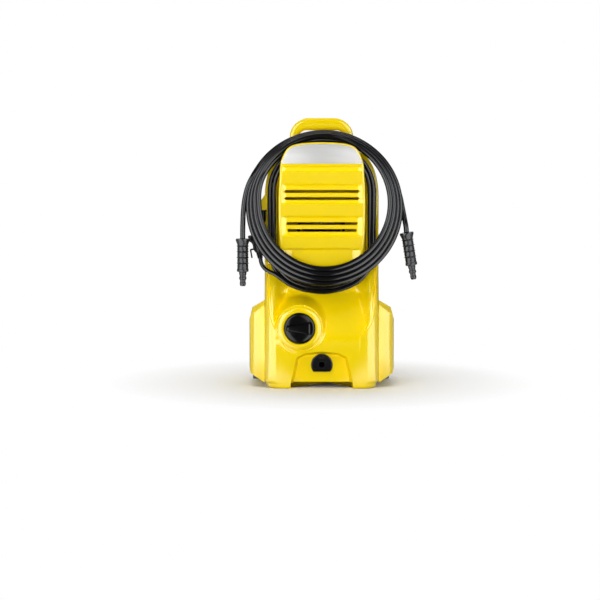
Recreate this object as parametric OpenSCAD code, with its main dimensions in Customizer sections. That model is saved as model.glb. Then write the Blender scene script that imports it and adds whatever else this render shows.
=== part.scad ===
// Compact upright pressure washer, carried by a top handle.
// Millimetres. +Z is up, the front faces -Y, +X is to the right seen from the front.
// The origin is the middle of the footprint, on the surface that the washer stands on.

/* [Housing] */
// Width over the two side walls of the housing
housing_w = 221; // [205:1:235]
// Depth of the housing from its front face to its back face
housing_d = 218; // [214:1:224]
// Distance from the middle of the body to its front face
front_reach = 112; // [108:1:116]
// Height of the bottom edge of the shells above the ground
shell_bottom = 13; // [10:1:16]
// Height of the flat top of the rear shell
housing_top = 456; // [440:1:470]
// Height at which the shoulders of the rear shell start to round in
shoulder_z = 365; // [350:1:380]
// Wall thickness of the shells
wall = 3; // [2:0.5:4]
// Radius of the front corners, seen from above
corner_r = 22; // [16:1:26]
// Radius of the back edges
back_r = 18; // [10:1:24]
// Distance from the middle to the wall behind the cable winding
slot_reach = 58; // [52:1:60]
// Height at which the front shell ends, at its corners
front_top = 245; // [235:1:255]

/* [Front scoop and arch] */
// Height at which the scoop below the winding starts
scoop_bottom = 97; // [90:1:104]
// Height at which the scoop reaches the neck
scoop_top = 182; // [176:1:188]
// Half width of the scoop at its lower edge
scoop_half_w = 84; // [78:1:86]
// Depth of the arched recess that holds the outlet
arch_depth = 14; // [10:1:18]
// Height of the crown of the arched recess
arch_top = 72; // [68:1:76]
// Half width of the arched recess at the bottom edge
arch_half_w = 59.5; // [52:0.5:64]

/* [Side covers] */
// How far each side cover stands out from the housing
cover_t = 29.5; // [22:0.5:34]
// Height at which a side cover meets the housing
cover_top = 169; // [160:0.5:180]
// Wall thickness of a side cover
cover_wall = 2.5; // [2:0.5:3.5]
// Radius of a rubber foot
foot_r = 8; // [6:0.5:9]

/* [Neck and grille panel] */
// Height of the lowest point of the neck
neck_bottom = 200.3; // [196:0.1:204]
// Height of the highest point of the neck
neck_top = 452; // [444:0.5:452]
// Half width of the neck where it meets the rear shell
neck_half_w = 87; // [84:0.5:87.5]
// Corner radius of the neck's top
neck_top_r = 72; // [66:1:80]
// Corner radius of the neck's bottom
neck_low_r = 61; // [50:1:66]
// How much narrower the neck is at its front
neck_draft = 5; // [4:0.5:6]
// Greatest half width of the grille panel
panel_half_w = 83.5; // [82:0.5:86]
// Height of the crown of the grille panel
panel_top = 474.5; // [470:0.5:478]
// Thickness of the grille panel
panel_t = 16; // [14:0.5:17]
// Depth of the recessed bands of the grille panel
band_depth = 4.5; // [3:0.5:5]
// Height of one air slot
slot_h = 5.5; // [3.5:0.5:6]
// Thickness of the label plate
label_t = 1.2; // [0.8:0.1:2]

/* [Handle] */
// Height of the handle bar's top above the housing
handle_rise = 64; // [56:1:74]
// Thickness of the handle bar
bar_t = 24; // [18:1:27]
// Depth of the handle from front to back
handle_depth = 28; // [22:1:32]
// Half width of the handle at its feet
handle_half_w = 62; // [58:1:63]

/* [Switch] */
// Distance of the knob from the middle plane
knob_x = 42.7; // [38:0.1:48]
// Height of the knob's axis
knob_z = 117; // [112:1:120]
// Radius of the knob
knob_r = 29.3; // [24:0.1:31]
// Radius of the round bezel
bezel_r = 45.5; // [42:0.5:47]
// How far the bezel stands out of the front face
bezel_t = 5; // [3:0.5:6]
// Radius of the knob's shaft
knob_shaft_r = 4; // [3:0.5:5]

/* [Water connections] */
// Height of the outlet and of the inlet
port_z = 45.5; // [43:0.5:48]
// Radius of the D-shaped outlet port
port_r = 21; // [19:0.5:22]
// Radius of the bore that takes the hose nipple
socket_bore_r = 5.3; // [4:0.1:6]
// Outer radius of the outlet socket
socket_r = 8; // [7:0.5:9]
// Outer radius of the threaded inlet nipple
nipple_r = 13.2; // [12:0.1:15]
// Bore radius of the inlet nipple
nipple_bore_r = 7.5; // [6:0.5:9]
// Length of the inlet nipple outside the back wall
nipple_len = 18; // [14:1:20]

/* [Motor and pump] */
// Outer radius of the stator core
stator_r = 44; // [40:1:44]
// Radius of the rotor core
rotor_r = 25; // [20:1:28]
// Height of the stator core
stator_len = 70; // [50:1:80]
// Radius of the motor shaft
shaft_r = 5; // [4:0.5:6]
// Radius of a pump piston
piston_r = 8; // [6:0.5:9]
// Distance of the pistons from the pump's axis
piston_ring_r = 22; // [20:1:23]
// Tilt of the swash plate
swash_tilt = 8; // [4:1:10]
// Gear module
gear_module = 1.5; // [1.5:0.1:1.5]
// Teeth on the pinion
pinion_teeth = 12; // [12:1:12]
// Teeth on the gear wheel
gear_teeth = 36; // [36:12:36]

/* [Mains cable and hose] */
// Diameter of the mains cable
cable_d = 8; // [7:0.5:8]
// Strands side by side on the neck
strands_wide = 3; // [2:1:3]
// Layers of cable on the neck
layers = 2; // [1:1:2]
// Diameter of the hose
hose_d = 10; // [8:0.5:10]
// Outer radius of the hose coil
hose_coil_r = 151; // [148:0.5:155]
// Inner radius of the hose coil
hose_coil_inner_r = 120; // [119:0.5:124]
// Depth of the hose coil
hose_coil_t = 26; // [20:1:27]

/* [Hidden] */
$fn = 64;
hw = housing_w / 2;
rear_reach = housing_d - front_reach;
fit = 0.1;           // gap of parts that seat in each other
run = 0.05;          // radial gap of a turning or sliding fit
clear = 0.5;         // gap between a moving part and what it passes
panel_back = front_reach - panel_t;
arch_reach = front_reach - arch_depth;
cover_front = front_reach - corner_r - 2;
cover_back = rear_reach - 28;
cover_low = shell_bottom - 4;
cover_under_rise = 17;     // rise of a cover's underside from the housing outwards
cover_crown_fall = 14;     // fall of a cover's top from the housing to its outer corner
cover_corner_fall = 36;    // fall of a cover's top from the housing to its outer face
cover_corner_w = 5.4;
cover_top_turn = 30;       // slope of a cover's top outwards, in degrees
cover_top_tilt = 4.5;      // slope of a cover's top backwards, in degrees
cover_bevel_turn = 43.6;   // slope of the bevel along the front of the top, in degrees
cover_bevel_lean = 24.6;   // how far that bevel leans back, in degrees
cover_bevel_fall = 7.5;
top_flat = 64;       // half width of the flat top of the rear shell
front_corner_z = 110;// height at which the front corners start to lean back

// Motor and pump stack, heights from the base plate up
plate_t = 3;
plate_front = front_reach - corner_r - 2;
base_top = shell_bottom + plate_t;
head_gap = 8;          // from the base plate up to the cylinder head
head_rise = 16.5;      // from the outlet's axis up to the head's top
swash_rise = 58;       // from the head's top up to the swash plate
chamber_h = 76;        // from the head's top up to the gearbox
gear_gap = 10;
gearbox_h = 32;
pump_to_back = 88;     // from the pump's axis to the back face
head_low = base_top + head_gap;
head_top = port_z + head_rise;
pump_y = rear_reach - pump_to_back;
head_half = 38;
bore_block_h = 30;
swash_z = head_top + swash_rise;
chamber_top = head_top + chamber_h;
gear_low = chamber_top + gear_gap;
gear_h = 10;
box_wall = 7;
motor_low = chamber_top + gearbox_h;
motor_y = pump_y + gear_module * (pinion_teeth + gear_teeth) / 2;
stator_gap = 8;
stator_low = motor_low + stator_gap;
stator_top = stator_low + stator_len;
frame_t = 3.5;
frame_r = stator_r + frame_t;
motor_head_h = 57;      // room for the commutator and the fan above the stator
motor_top = stator_top + motor_head_h;
bearing_r = 11;
bearing_h = 7;
spindle_r = 8;
spindle_bearing_r = 13;
piston_gap = 4;
piston_low = head_top + piston_gap;
swash_half_t = 3;
swash_r = 33;
// Lowest point that the turning swash plate reaches over the pistons
swash_sweep = swash_z - swash_half_t / cos(swash_tilt) - (piston_ring_r + piston_r + 4) * tan(swash_tilt);
piston_top = swash_sweep - clear;

// Mains cable winding
winding_gap = 1.3;     // slack between the neck and the first layer
winding_grow = winding_gap + layers * cable_d;
winding_front = panel_back - 4;
winding_back = winding_front - strands_wide * cable_d;
// Cable outlet on the left edge of the rear shell
gland_x = -114;
gland_y = -66.2;
gland_top = 343;
gland_len = 24;
// From the gland, down behind the winding and into its first turn
lead_route = [[-114, -66.2, 320], [-114, -65.6, 311], [-114, -64, 301], [-114, -63.6, 290],
    [-111, -63.6, 278], [-104, -63.6, 257], [-93, -63.6, 238], [-79, -63.6, 222], [-62, -63.8, 210],
    [-44, -64.6, 202], [-25, -66.5, 197], [-4, -70, 195.5]];
// From the last turn of the winding to the plug
tail_route = [[-44, -88, 192], [-60, -88, 199], [-77, -88, 210.5], [-90, -87, 219.5], [-102, -85, 225],
    [-111, -83, 231.5], [-116.5, -81.4, 240.5], [-118.5, -81, 250]];
plug_at = [-118.5, -81, 250];
plug_lean = 10;
plug_boot_len = 18;
plug_body_len = 17;
plug_face_r = 16.5;
plug_face_t = 14;
plug_pin_len = 19;

// Hose coil
hose_centre = [5, -105.5, 352.5];
hose_sag = 5;            // how far the strands sag, so that the coil is wider below
hose_tilt = 14;
coil_gap = 0.3;          // between the coil and the winding that it leans on
hose_left_route = [[-122, -80, 424], [-132, -83.5, 410], [-141, -87, 392], [-147, -89.5, 371],
    [-150.5, -93, 346], [-151.7, -98, 320], [-152, -102.2, 303], [-152, -103, 290]];
hose_right_route = [[144, -76.6, 392], [150, -79, 373], [154.8, -85, 350], [159.2, -94, 326],
    [161.7, -100.6, 311], [162.4, -103, 301.8]];
connector_lean = 9;
connector_len = 64;
nipple_tip_len = 28;

yellow = "#f7d70a";
black = "#1c1c1e";
steel = "#a9adb2";
grey = "#5c5f63";

// ---- helpers ----

// An outline in X and Z, extruded along Y
module along_y(y0, y1) {
    translate([0, y1, 0])
        rotate([90, 0, 0])
            linear_extrude(y1 - y0)
                children();
}

// An outline in Y and Z, extruded along X
module along_x(x0, x1) {
    translate([x0, 0, 0])
        rotate([90, 0, 90])
            linear_extrude(x1 - x0)
                children();
}

module along_z(z0, z1) {
    translate([0, 0, z0])
        linear_extrude(z1 - z0)
            children();
}

// A cylinder along Y
module rod_y(x, z, r, y0, y1) {
    translate([x, y1, z])
        rotate([90, 0, 0])
            cylinder(r = r, h = y1 - y0);
}

module tube_z(outer, inner, z0, z1) {
    along_z(z0, z1)
        difference() {
            circle(outer);
            circle(inner);
        }
}

module both_sides() {
    children();
    mirror([1, 0, 0])
        children();
}

function mirrored(half) = concat(half, [for (i = [len(half) - 1:-1:0]) [-half[i][0], half[i][1]]]);
function unit(v) = v / norm(v);
function tangent(route, i) =
    unit(route[min(i + 1, len(route) - 1)] - route[max(i - 1, 0)]);
function ring(centre, along, r, sides) =
    let (u = unit(cross(along, [0, 1, 0.01])), v = cross(u, along))
    [for (k = [0:sides - 1]) centre + r * (cos(360 * k / sides) * u + sin(360 * k / sides) * v)];

// A round tube swept along a route
module swept_tube(route, r, sides) {
    rings = [for (i = [0:len(route) - 1]) each ring(route[i], tangent(route, i), r, sides)];
    last = (len(route) - 1) * sides;
    skin = [for (i = [0:len(route) - 2]) for (k = [0:sides - 1])
        let (a = i * sides + k, b = i * sides + (k + 1) % sides)
        each [[a, b, b + sides], [a, b + sides, a + sides]]];
    ends = [[for (k = [sides - 1:-1:0]) k], [for (k = [0:sides - 1]) last + k]];
    polyhedron(points = rings, faces = concat(skin, ends), convexity = 6);
}

// ---- outlines ----

// Rear shell seen from the front, drawn in by a distance
function shoulder(inset) = [for (a = [0:10:90])
    [top_flat + (hw - top_flat - inset) * pow(cos(a), 2 / 2.1),
     shoulder_z + (housing_top - shoulder_z - inset) * pow(sin(a), 2 / 2.1)]];
module rear_outline(inset, bottom) {
    polygon(mirrored(concat([[hw - inset, bottom]], shoulder(inset))));
}

handle_top = housing_top + handle_rise;

// Outline of the neck, with a crowned bottom, grown by a distance
neck_crown_r = 122;
function arc(x, z, r, from, to, steps) = [for (i = [0:steps]) let (a = from + (to - from) * i / steps)
    [x + r * cos(a), z + r * sin(a)]];
neck_low_x = neck_half_w - neck_low_r;
neck_low_z = neck_bottom + neck_crown_r - sqrt(pow(neck_crown_r - neck_low_r, 2) - pow(neck_low_x, 2));
neck_crown_a = asin(neck_low_x / (neck_crown_r - neck_low_r));
neck_high_z = neck_top - neck_top_r;
function neck_low_edge(grow) = concat(
    arc(0, neck_bottom + neck_crown_r, neck_crown_r + grow, -90, -90 + neck_crown_a, 3),
    arc(neck_low_x, neck_low_z, neck_low_r + grow, -90 + neck_crown_a + 6, 0, 10));
module neck_outline(grow) {
    polygon(mirrored(concat(neck_low_edge(grow),
        arc(neck_half_w - neck_top_r, neck_high_z, neck_top_r + grow, 0, 90, 14))));
}

// Grille panel: bulged sides, a crowned top with round corners and a round lower end
panel_side_z = 345;
function panel_half(z) = panel_half_w - 1.5 * pow((z - panel_side_z) / 55, 2);
panel_crown_r = 350;
panel_corner_r = 32;
panel_corner_z = panel_top - 35;
panel_corner_x = panel_half(panel_corner_z) - panel_corner_r;
panel_margin = 4.8;    // step from the neck's side to the edge of the panel, at the bottom
function panel_edge(inset) = concat(
    [for (p = neck_low_edge(-panel_margin - inset)) [min(p[0], panel_half(p[1]) - inset), p[1]]],
    [for (i = [1:5]) let (z = neck_low_z + (panel_corner_z - neck_low_z) * i / 6) [panel_half(z) - inset, z]],
    arc(panel_corner_x, panel_corner_z, panel_corner_r - inset, 0, 80, 8),
    [for (x = [30, 15, 0]) [x, panel_top - inset - x * x / 2 / panel_crown_r]]);
module panel_outline(inset) {
    polygon(mirrored(panel_edge(inset)));
}

// Arched recess, grown by a distance
function arch_half(grow) = [[arch_half_w + grow, shell_bottom - 2],
    [arch_half_w - 11.5 + grow, arch_top - 17], [arch_half_w - 14.5 + grow, arch_top - 11],
    [arch_half_w - 20.5 + grow * 0.8, arch_top - 5.5 + grow * 0.5], [arch_half_w - 30, arch_top - 2 + grow],
    [arch_half_w - 45, arch_top - 0.5 + grow]];
module arch_outline(grow) {
    polygon(mirrored(arch_half(grow)));
}

// Side profile of the front corners and of the scoop, as distances from the middle
function corner_reach(z) = z < front_corner_z ? front_reach :
    front_reach - (front_reach - slot_reach) * pow((z - front_corner_z) / (front_top - front_corner_z), 2);
scoop_end = 66;
function scoop_reach(z) = front_reach - (front_reach - scoop_end)
    * pow((z - scoop_bottom) / (scoop_top - scoop_bottom), 0.9);

// ---- housing ----

module rear_form(inset, bottom) {
    back = rear_reach - inset;
    hull() {
        along_y(-slot_reach + inset, back - back_r)
            rear_outline(inset, bottom);
        along_y(back - back_r, back - back_r * 0.293)
            rear_outline(inset + back_r * 0.293, bottom);
        along_y(back - back_r, back)
            rear_outline(inset + back_r, bottom);
    }
}

screw_head_r = 4.5;
screw_r = 2;
well_r = 7;
screw_places = [for (z = [34, 160]) [hw - wall - well_r + 1, z]];
well_end = slot_reach - 12;
vent_low = 200;
vent_pitch = 12;
vent_count = 8;

module rear_shell() {
    color(yellow) difference() {
        union() {
            difference() {
                rear_form(0, shell_bottom);
                rear_form(wall, shell_bottom - 1);
            }
            intersection() {
                rear_form(0, shell_bottom);
                both_sides()
                    for (p = screw_places)
                        rod_y(p[0], p[1], well_r, -slot_reach, rear_reach);
            }
            cable_boss();
        }
        along_y(-slot_reach - 1, -slot_reach + wall + 1)
            neck_outline(-wall);
        along_y(-slot_reach - 1, -slot_reach + wall + 1)
            translate([-hw + wall + 12, shell_bottom - 1])
                square([2 * (hw - wall - 12), scoop_top - shell_bottom - 8]);
        along_y(-slot_reach - 1, -slot_reach + wall + 1)
            translate([-hw + wall, shell_bottom - 1])
                square([2 * (hw - wall), plate_t + 1 + fit]);
        both_sides()
            for (p = screw_places) {
                rod_y(p[0], p[1], screw_head_r + fit, -well_end, rear_reach + 1);
                rod_y(p[0], p[1], screw_r + fit, -slot_reach - 1, -well_end + 1);
            }
        rod_y(0, port_z, nipple_root_r + fit, rear_reach - wall - 1, rear_reach + 1);
        for (i = [0:vent_count - 1])
            along_y(rear_reach - wall - 1, rear_reach + 1)
                air_slot(52, vent_low + i * vent_pitch, 5);
        both_sides()
            translate([handle_screw_x, handle_y, housing_top - wall - 1])
                cylinder(r = screw_r + fit, h = wall + 2);
    }
}

// Boss on the left edge from which the mains cable comes down
module cable_boss() {
    difference() {
        along_y(gland_y - 10, -slot_reach + wall)
            polygon([[-hw + 5.8, gland_top], [gland_x - 9.5, gland_top], [gland_x - 9.5, gland_top + 9],
                [-hw, gland_top + 29], [-hw + 5.8, gland_top + 29]]);
        translate([gland_x, gland_y, gland_top - 1])
            cylinder(r = gland_plug_r + fit, h = gland_seat + 1);
    }
}

// A long slot with round ends, centred on the middle plane
module air_slot(half_w, z, h) {
    translate([-half_w + h / 2, z - h / 2])
        square([2 * half_w - h, h]);
    for (side = [-1, 1])
        translate([side * (half_w - h / 2), z])
            circle(h / 2);
}

// Body of the front shell, drawn in by a distance
module front_form(inset) {
    intersection() {
        along_x(-hw + inset, hw - inset)
            polygon(concat([[-slot_reach, shell_bottom - (inset > 0 ? 1 : 0)]],
                [[-front_reach + inset, shell_bottom - (inset > 0 ? 1 : 0)]],
                [for (i = [0:9]) let (z = front_corner_z + (front_top - front_corner_z) * i / 9)
                    [-corner_reach(z) + inset * (i == 9 ? 0 : 1.1), z - inset * i / 9]]));
        along_z(0, front_top)
            front_plan(inset);
    }
}

module front_plan(inset) {
    r = corner_r - inset;
    for (side = [-1, 1])
        translate([side * (hw - corner_r), -front_reach + corner_r])
            circle(r);
    translate([-hw + corner_r, -front_reach + inset])
        square([2 * (hw - corner_r), corner_r]);
    translate([-hw + inset, -front_reach + corner_r])
        square([2 * (hw - inset), front_reach - corner_r - slot_reach]);
}

// Scoop in front of the neck, grown by a distance
module scoop(grow) {
    low = scoop_bottom - grow;
    intersection() {
        along_x(-hw, hw)
            polygon(concat([[-front_reach - 20, low]],
                [for (i = [0:8]) let (z = scoop_bottom + (scoop_top - scoop_bottom) * i / 8)
                    [-scoop_reach(z) + grow * 1.1, z - grow * (i == 0 ? 1 : 0.3)]],
                [[-slot_reach + 1, front_top + 2], [-front_reach - 20, front_top + 2]]));
        along_y(-front_reach - 20, 0)
            polygon(mirrored([[scoop_half_w + grow, low], [scoop_half_w - 12 + grow, scoop_top],
                [scoop_half_w - 18 + grow, front_top + 2]]));
    }
}

knob_pocket_r = knob_r + 1;
pocket_back = front_reach - 12;
switch_front = pocket_back - wall;

module front_shell() {
    color(yellow) difference() {
        union() {
            difference() {
                union() {
                    difference() {
                        front_form(0);
                        scoop(0);
                    }
                    rod_y(-knob_x, knob_z, bezel_r, -front_reach - bezel_t, -scoop_end - 12);
                }
                difference() {
                    union() {
                        difference() {
                            front_form(wall);
                            scoop(wall);
                        }
                        rod_y(-knob_x, knob_z, bezel_r - wall, -front_reach - bezel_t + wall, -slot_reach);
                    }
                    along_y(-front_reach - 1, -arch_reach + wall)
                        arch_outline(wall);
                    rod_y(-knob_x, knob_z, knob_pocket_r + wall, -front_reach - bezel_t, -switch_front);
                    both_sides()
                        for (p = screw_places)
                            rod_y(p[0], p[1], well_r, -slot_reach - 22, -slot_reach + 1);
                }
            }
            both_sides()
                along_y(-front_reach + 3, -plate_front - fit)
                    polygon([[arch_half_w + 1.5, 0], [hw - 4.5, 0], [hw - 1.5, shell_bottom + 2],
                        [arch_half_w, shell_bottom + 2]]);
        }
        along_y(-front_reach - 1, -arch_reach)
            arch_outline(0);
        rod_y(-knob_x, knob_z, knob_pocket_r, -front_reach - bezel_t - 1, -pocket_back);
        rod_y(-knob_x, knob_z, knob_shaft_r + 1, -pocket_back - 1, -switch_front + 1);
        rod_y(0, port_z, port_barrel_r + fit, -arch_reach - 1, -arch_reach + wall + 1);
        both_sides()
            for (p = screw_places)
                rod_y(p[0], p[1], screw_r + fit, -slot_reach - 20, -slot_reach + 1);
        along_y(-front_reach, -slot_reach + 1)
            neck_outline(winding_grow + 1.5);
    }
}

module cable_neck() {
    color(yellow) difference() {
        neck_form(0);
        neck_form(wall);
    }
}

module neck_form(inset) {
    over = inset > 0 ? 1 : 0;
    hull() {
        along_y(-slot_reach - 1, -slot_reach + over)
            neck_outline(-inset);
        along_y(-panel_back - over, -panel_back + 1)
            neck_outline(-neck_draft - inset);
    }
}

// Bands of the grille panel, each with its lowest and its highest point
band_half_w = panel_half_w - 9;
bands = [[418.5, 427.5], [357, 392.5], [296, 331]];
slots = [[380.2, 0], [366.6, 0], [318.6, 3.5], [305.4, 5.5]];
chin_z = 269;
label_z = 433.5;

module grille_panel() {
    color(yellow) difference() {
        along_y(-front_reach, -panel_back)
            panel_outline(0);
        for (b = bands)
            along_x(-band_half_w, band_half_w)
                polygon([[-front_reach - 1, b[0] - 0.5], [-front_reach + band_depth, b[0] + 3],
                    [-front_reach + band_depth, b[1] - 1], [-front_reach - 1, b[1]]]);
        along_x(-hw, hw)
            polygon([[-front_reach - 1, chin_z], [-front_reach + band_depth, chin_z - 1.5],
                [-panel_back - 3, neck_bottom], [-front_reach - 1, neck_bottom]]);
        for (s = slots)
            along_y(-front_reach - 1, -panel_back + 1)
                air_slot(band_half_w - 3 - s[1], s[0], slot_h);
        along_y(-panel_back - 8, -panel_back + 1)
            translate([-band_half_w, slots[3][0] - 8])
                square([2 * band_half_w, 120]);
        along_y(-front_reach - 1, -front_reach + label_t - 0.4)
            label_outline(fit);
    }
}

module label_outline(grow) {
    intersection() {
        panel_outline(2.6 - grow);
        translate([-hw, label_z - grow])
            square([2 * hw, 60]);
    }
}

module panel_label() {
    color("#d9dadf")
        along_y(-front_reach - 0.4, -front_reach + label_t - 0.4)
            label_outline(0);
}

// Right side cover, drawn in by a distance: its top falls backwards, and its front edge is bevelled
module cover_form(inset) {
    open = inset > 0 ? 1 : 0;
    out = hw + cover_t - inset;
    far = 2 * housing_d;
    difference() {
        intersection() {
            along_y(-cover_front + inset, cover_back - inset)
                polygon([[hw - open, cover_low + inset * 1.6],
                    [out, cover_low + cover_under_rise + inset * 0.6],
                    [out, cover_top - cover_corner_fall - inset * 0.4],
                    [out - cover_corner_w, cover_top - cover_crown_fall - inset],
                    [hw - open, cover_top - inset * 1.2]]);
            along_z(0, cover_top)
                polygon([[hw - open, -cover_front + inset], [hw + cover_t - 11, -cover_front + inset],
                    [out, -cover_front + 12 + inset * 0.4], [out, cover_back - 12 - inset * 0.4],
                    [hw + cover_t - 13, cover_back - inset], [hw - open, cover_back - inset]]);
        }
        translate([hw, -cover_front + cover_t / 2, cover_top])
            rotate([0, cover_top_turn, 0])
                rotate([-cover_top_tilt, 0, 0])
                    translate([-far / 2, -far / 2, -inset])
                        cube(far);
        translate([hw, -cover_front, cover_top - cover_bevel_fall])
            rotate([0, cover_bevel_turn, 0])
                rotate([cover_bevel_lean, 0, 0])
                    translate([-far / 2, -far / 2, -inset])
                        cube(far);
    }
}

module side_cover() {
    color(yellow) difference() {
        cover_form(0);
        cover_form(cover_wall);
    }
}

module right_side_cover() {
    side_cover();
}

module left_side_cover() {
    mirror([1, 0, 0])
        side_cover();
}

module base_plate() {
    inner = hw - wall - fit;
    back = rear_reach - wall - fit;
    color(black) along_z(shell_bottom, base_top)
        difference() {
            polygon(mirrored([[inner, -plate_front], [inner, back - back_r],
                [inner - back_r, back]]));
            for (i = [-3:3])
                translate([i * 14, rear_reach - 30])
                    square([5, 26], center = true);
        }
}

module rear_feet() {
    foot_x = hw + cover_t * 0.6;
    color(grey) both_sides()
        difference() {
            translate([foot_x, cover_back - 22, 0])
                cylinder(r = foot_r, h = cover_low + cover_under_rise);
            along_y(cover_back - 24 - foot_r, cover_back - 20 + foot_r)
                polygon([[hw - cover_t, cover_low - cover_under_rise],
                    [hw + 2 * cover_t, cover_low + 2 * cover_under_rise],
                    [hw - cover_t, cover_low + 4 * cover_under_rise]]);
        }
}

handle_y = -10;
handle_screw_x = handle_half_w - 8;
handle_leg_t = 16;

module handle_outline() {
    difference() {
        polygon(mirrored(concat([[handle_half_w, housing_top]],
            [for (a = [0:15:90]) [handle_half_w - 34 + 28 * cos(a), handle_top - 28 + 28 * sin(a)]])));
        polygon(mirrored(concat([[handle_half_w - handle_leg_t, housing_top - 1]],
            [for (a = [0:15:90]) [handle_half_w - 34 + 12 * cos(a),
                handle_top - bar_t - 12 + 12 * sin(a)]])));
    }
}

module carrying_handle() {
    color(yellow) difference() {
        along_y(handle_y - handle_depth / 2, handle_y + handle_depth / 2)
            handle_outline();
        both_sides()
            translate([handle_screw_x, handle_y, housing_top - 1])
                cylinder(r = screw_r + fit, h = 20);
    }
}

module housing_screws() {
    color(steel) {
        both_sides()
            for (p = screw_places) {
                rod_y(p[0], p[1], screw_head_r, -well_end, -well_end + 3);
                rod_y(p[0], p[1], screw_r, -slot_reach - 18, -well_end + 1);
            }
        both_sides()
            translate([handle_screw_x, handle_y, housing_top - wall - 3]) {
                cylinder(r = screw_head_r, h = 3);
                cylinder(r = screw_r, h = wall + 20);
            }
    }
}

// ---- switch ----

knob_face = front_reach + 3.5;
grip_rise = 8.5;

module power_knob() {
    color(black) {
        difference() {
            rod_y(-knob_x, knob_z, knob_r, -knob_face, -pocket_back - clear);
            rod_y(-knob_x, knob_z, knob_shaft_r + 0.02, -pocket_back - 7, -pocket_back + 1);
        }
        intersection() {
            rod_y(-knob_x, knob_z, knob_r - 4, -knob_face - grip_rise, -knob_face + 1);
            along_y(-knob_face - grip_rise, -knob_face + 1)
                translate([-knob_x, knob_z])
                    polygon([[-knob_r, -4], [knob_r - 6.5, -11.5], [knob_r - 6.5, 11.5], [-knob_r, 4]]);
        }
    }
}

module knob_shaft() {
    color(steel)
        rod_y(-knob_x, knob_z, knob_shaft_r, -pocket_back - 7, -switch_front + 28);
}

module switch_box() {
    color(grey) difference() {
        along_y(-switch_front, -switch_front + 34)
            translate([-knob_x, knob_z])
                square([38, 42], center = true);
        rod_y(-knob_x, knob_z, knob_shaft_r + run, -switch_front - 1, -switch_front + 30);
    }
}

// ---- water connections ----

port_barrel_r = 13;
port_face = arch_reach + 5;
latch_half_w = 6.7;
latch_low = port_z + 11.5;
latch_h = 4.5;

module outlet_port() {
    color(black) difference() {
        union() {
            along_y(-port_face, -arch_reach)
                intersection() {
                    translate([0, port_z])
                        circle(port_r);
                    translate([-port_r, port_z - 13.5])
                        square([2 * port_r, 3 * port_r]);
                }
            rod_y(0, port_z, port_barrel_r, -arch_reach - 1, -arch_reach + 24);
        }
        rod_y(0, port_z, socket_r + fit, -port_face + 4, -arch_reach + 25);
        along_y(-port_face - 1, -port_face + 4)
            translate([0, port_z])
                square(11, center = true);
        along_y(-port_face - 1, -arch_reach)
            translate([-latch_half_w - 0.3, latch_low - 3])
                square([2 * latch_half_w + 0.6, latch_h + 3.5]);
    }
}

module outlet_latch() {
    color(grey)
        along_y(-port_face - 1, -arch_reach - 0.4)
            translate([-latch_half_w, latch_low])
                square([2 * latch_half_w, latch_h]);
}

module outlet_socket() {
    color(black) difference() {
        rod_y(0, port_z, socket_r, -port_face + 4, -slot_reach);
        rod_y(0, port_z, socket_bore_r, -port_face + 3, -slot_reach + 1);
    }
}

module outlet_pipe() {
    color(steel) difference() {
        rod_y(0, port_z, socket_r, -slot_reach, pump_y - head_half);
        rod_y(0, port_z, socket_bore_r - 1, -slot_reach - 1, pump_y - head_half + 1);
    }
}

nipple_root_r = nipple_r + 1.8;

module inlet_nipple() {
    inner = rear_reach - wall;
    color(black) difference() {
        union() {
            rod_y(0, port_z, nipple_r, rear_reach, rear_reach + nipple_len);
            rod_y(0, port_z, nipple_root_r, inner - 11, rear_reach + 1);
            rod_y(0, port_z, nipple_r + 6, inner - 3, inner);
        }
        rod_y(0, port_z, nipple_bore_r, inner - 12, rear_reach + nipple_len + 1);
    }
}

module inlet_filter() {
    tip = rear_reach - 2;
    mouth = rear_reach + nipple_len - 2;
    color("#e8e8ea") difference() {
        rod_y(0, port_z, nipple_bore_r - fit, tip, mouth);
        rod_y(0, port_z, nipple_bore_r - 1, tip + 1, mouth + 1);
    }
}

module inlet_pipe() {
    color(grey) difference() {
        rod_y(0, port_z, nipple_bore_r + 2, pump_y + head_half, rear_reach - wall - 11);
        rod_y(0, port_z, nipple_bore_r - 1, pump_y + head_half - 1, rear_reach - wall - 10);
    }
}

// ---- pump ----

module at_pump() {
    translate([0, pump_y, 0])
        children();
}

module at_motor() {
    translate([0, motor_y, 0])
        children();
}

module at_pistons() {
    at_pump()
        for (i = [0:2])
            rotate(piston_angle(i))
                translate([piston_ring_r, 0, 0])
                    children();
}

function piston_angle(i) = 90 + 120 * i;

module cylinder_head() {
    color("#b9bcc0") difference() {
        union() {
            at_pump()
                along_z(head_low, head_top)
                    square(2 * head_half, center = true);
            at_pump()
                for (x = [-1, 1], y = [-1, 1])
                    translate([x * (head_half - 8), y * (head_half - 8), base_top])
                        cylinder(r = 6, h = head_low - base_top + 1);
        }
        rod_y(0, port_z, socket_bore_r - 1, pump_y - head_half - 1, pump_y - 4);
        rod_y(0, port_z, nipple_bore_r - 1, pump_y + 4, pump_y + head_half + 1);
        translate([head_half - 14, pump_y, port_z])
            rotate([0, 90, 0])
                cylinder(r = plunger_r + run, h = 15);
    }
}

plunger_r = 3;
plunger_travel = 2;

module pressure_plunger() {
    color(steel)
        translate([head_half - 10, pump_y, port_z])
            rotate([0, 90, 0])
                cylinder(r = plunger_r, h = 13);
}

module pressure_switch() {
    front = head_half + 3 + plunger_travel + 0.3;
    color(black) {
        translate([front, pump_y - 13, port_z - 12])
            cube([20, 26, 24]);
        translate([head_half, pump_y - 13, port_z - 12])
            cube([front - head_half + 1, 26, 6]);
    }
}

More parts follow.
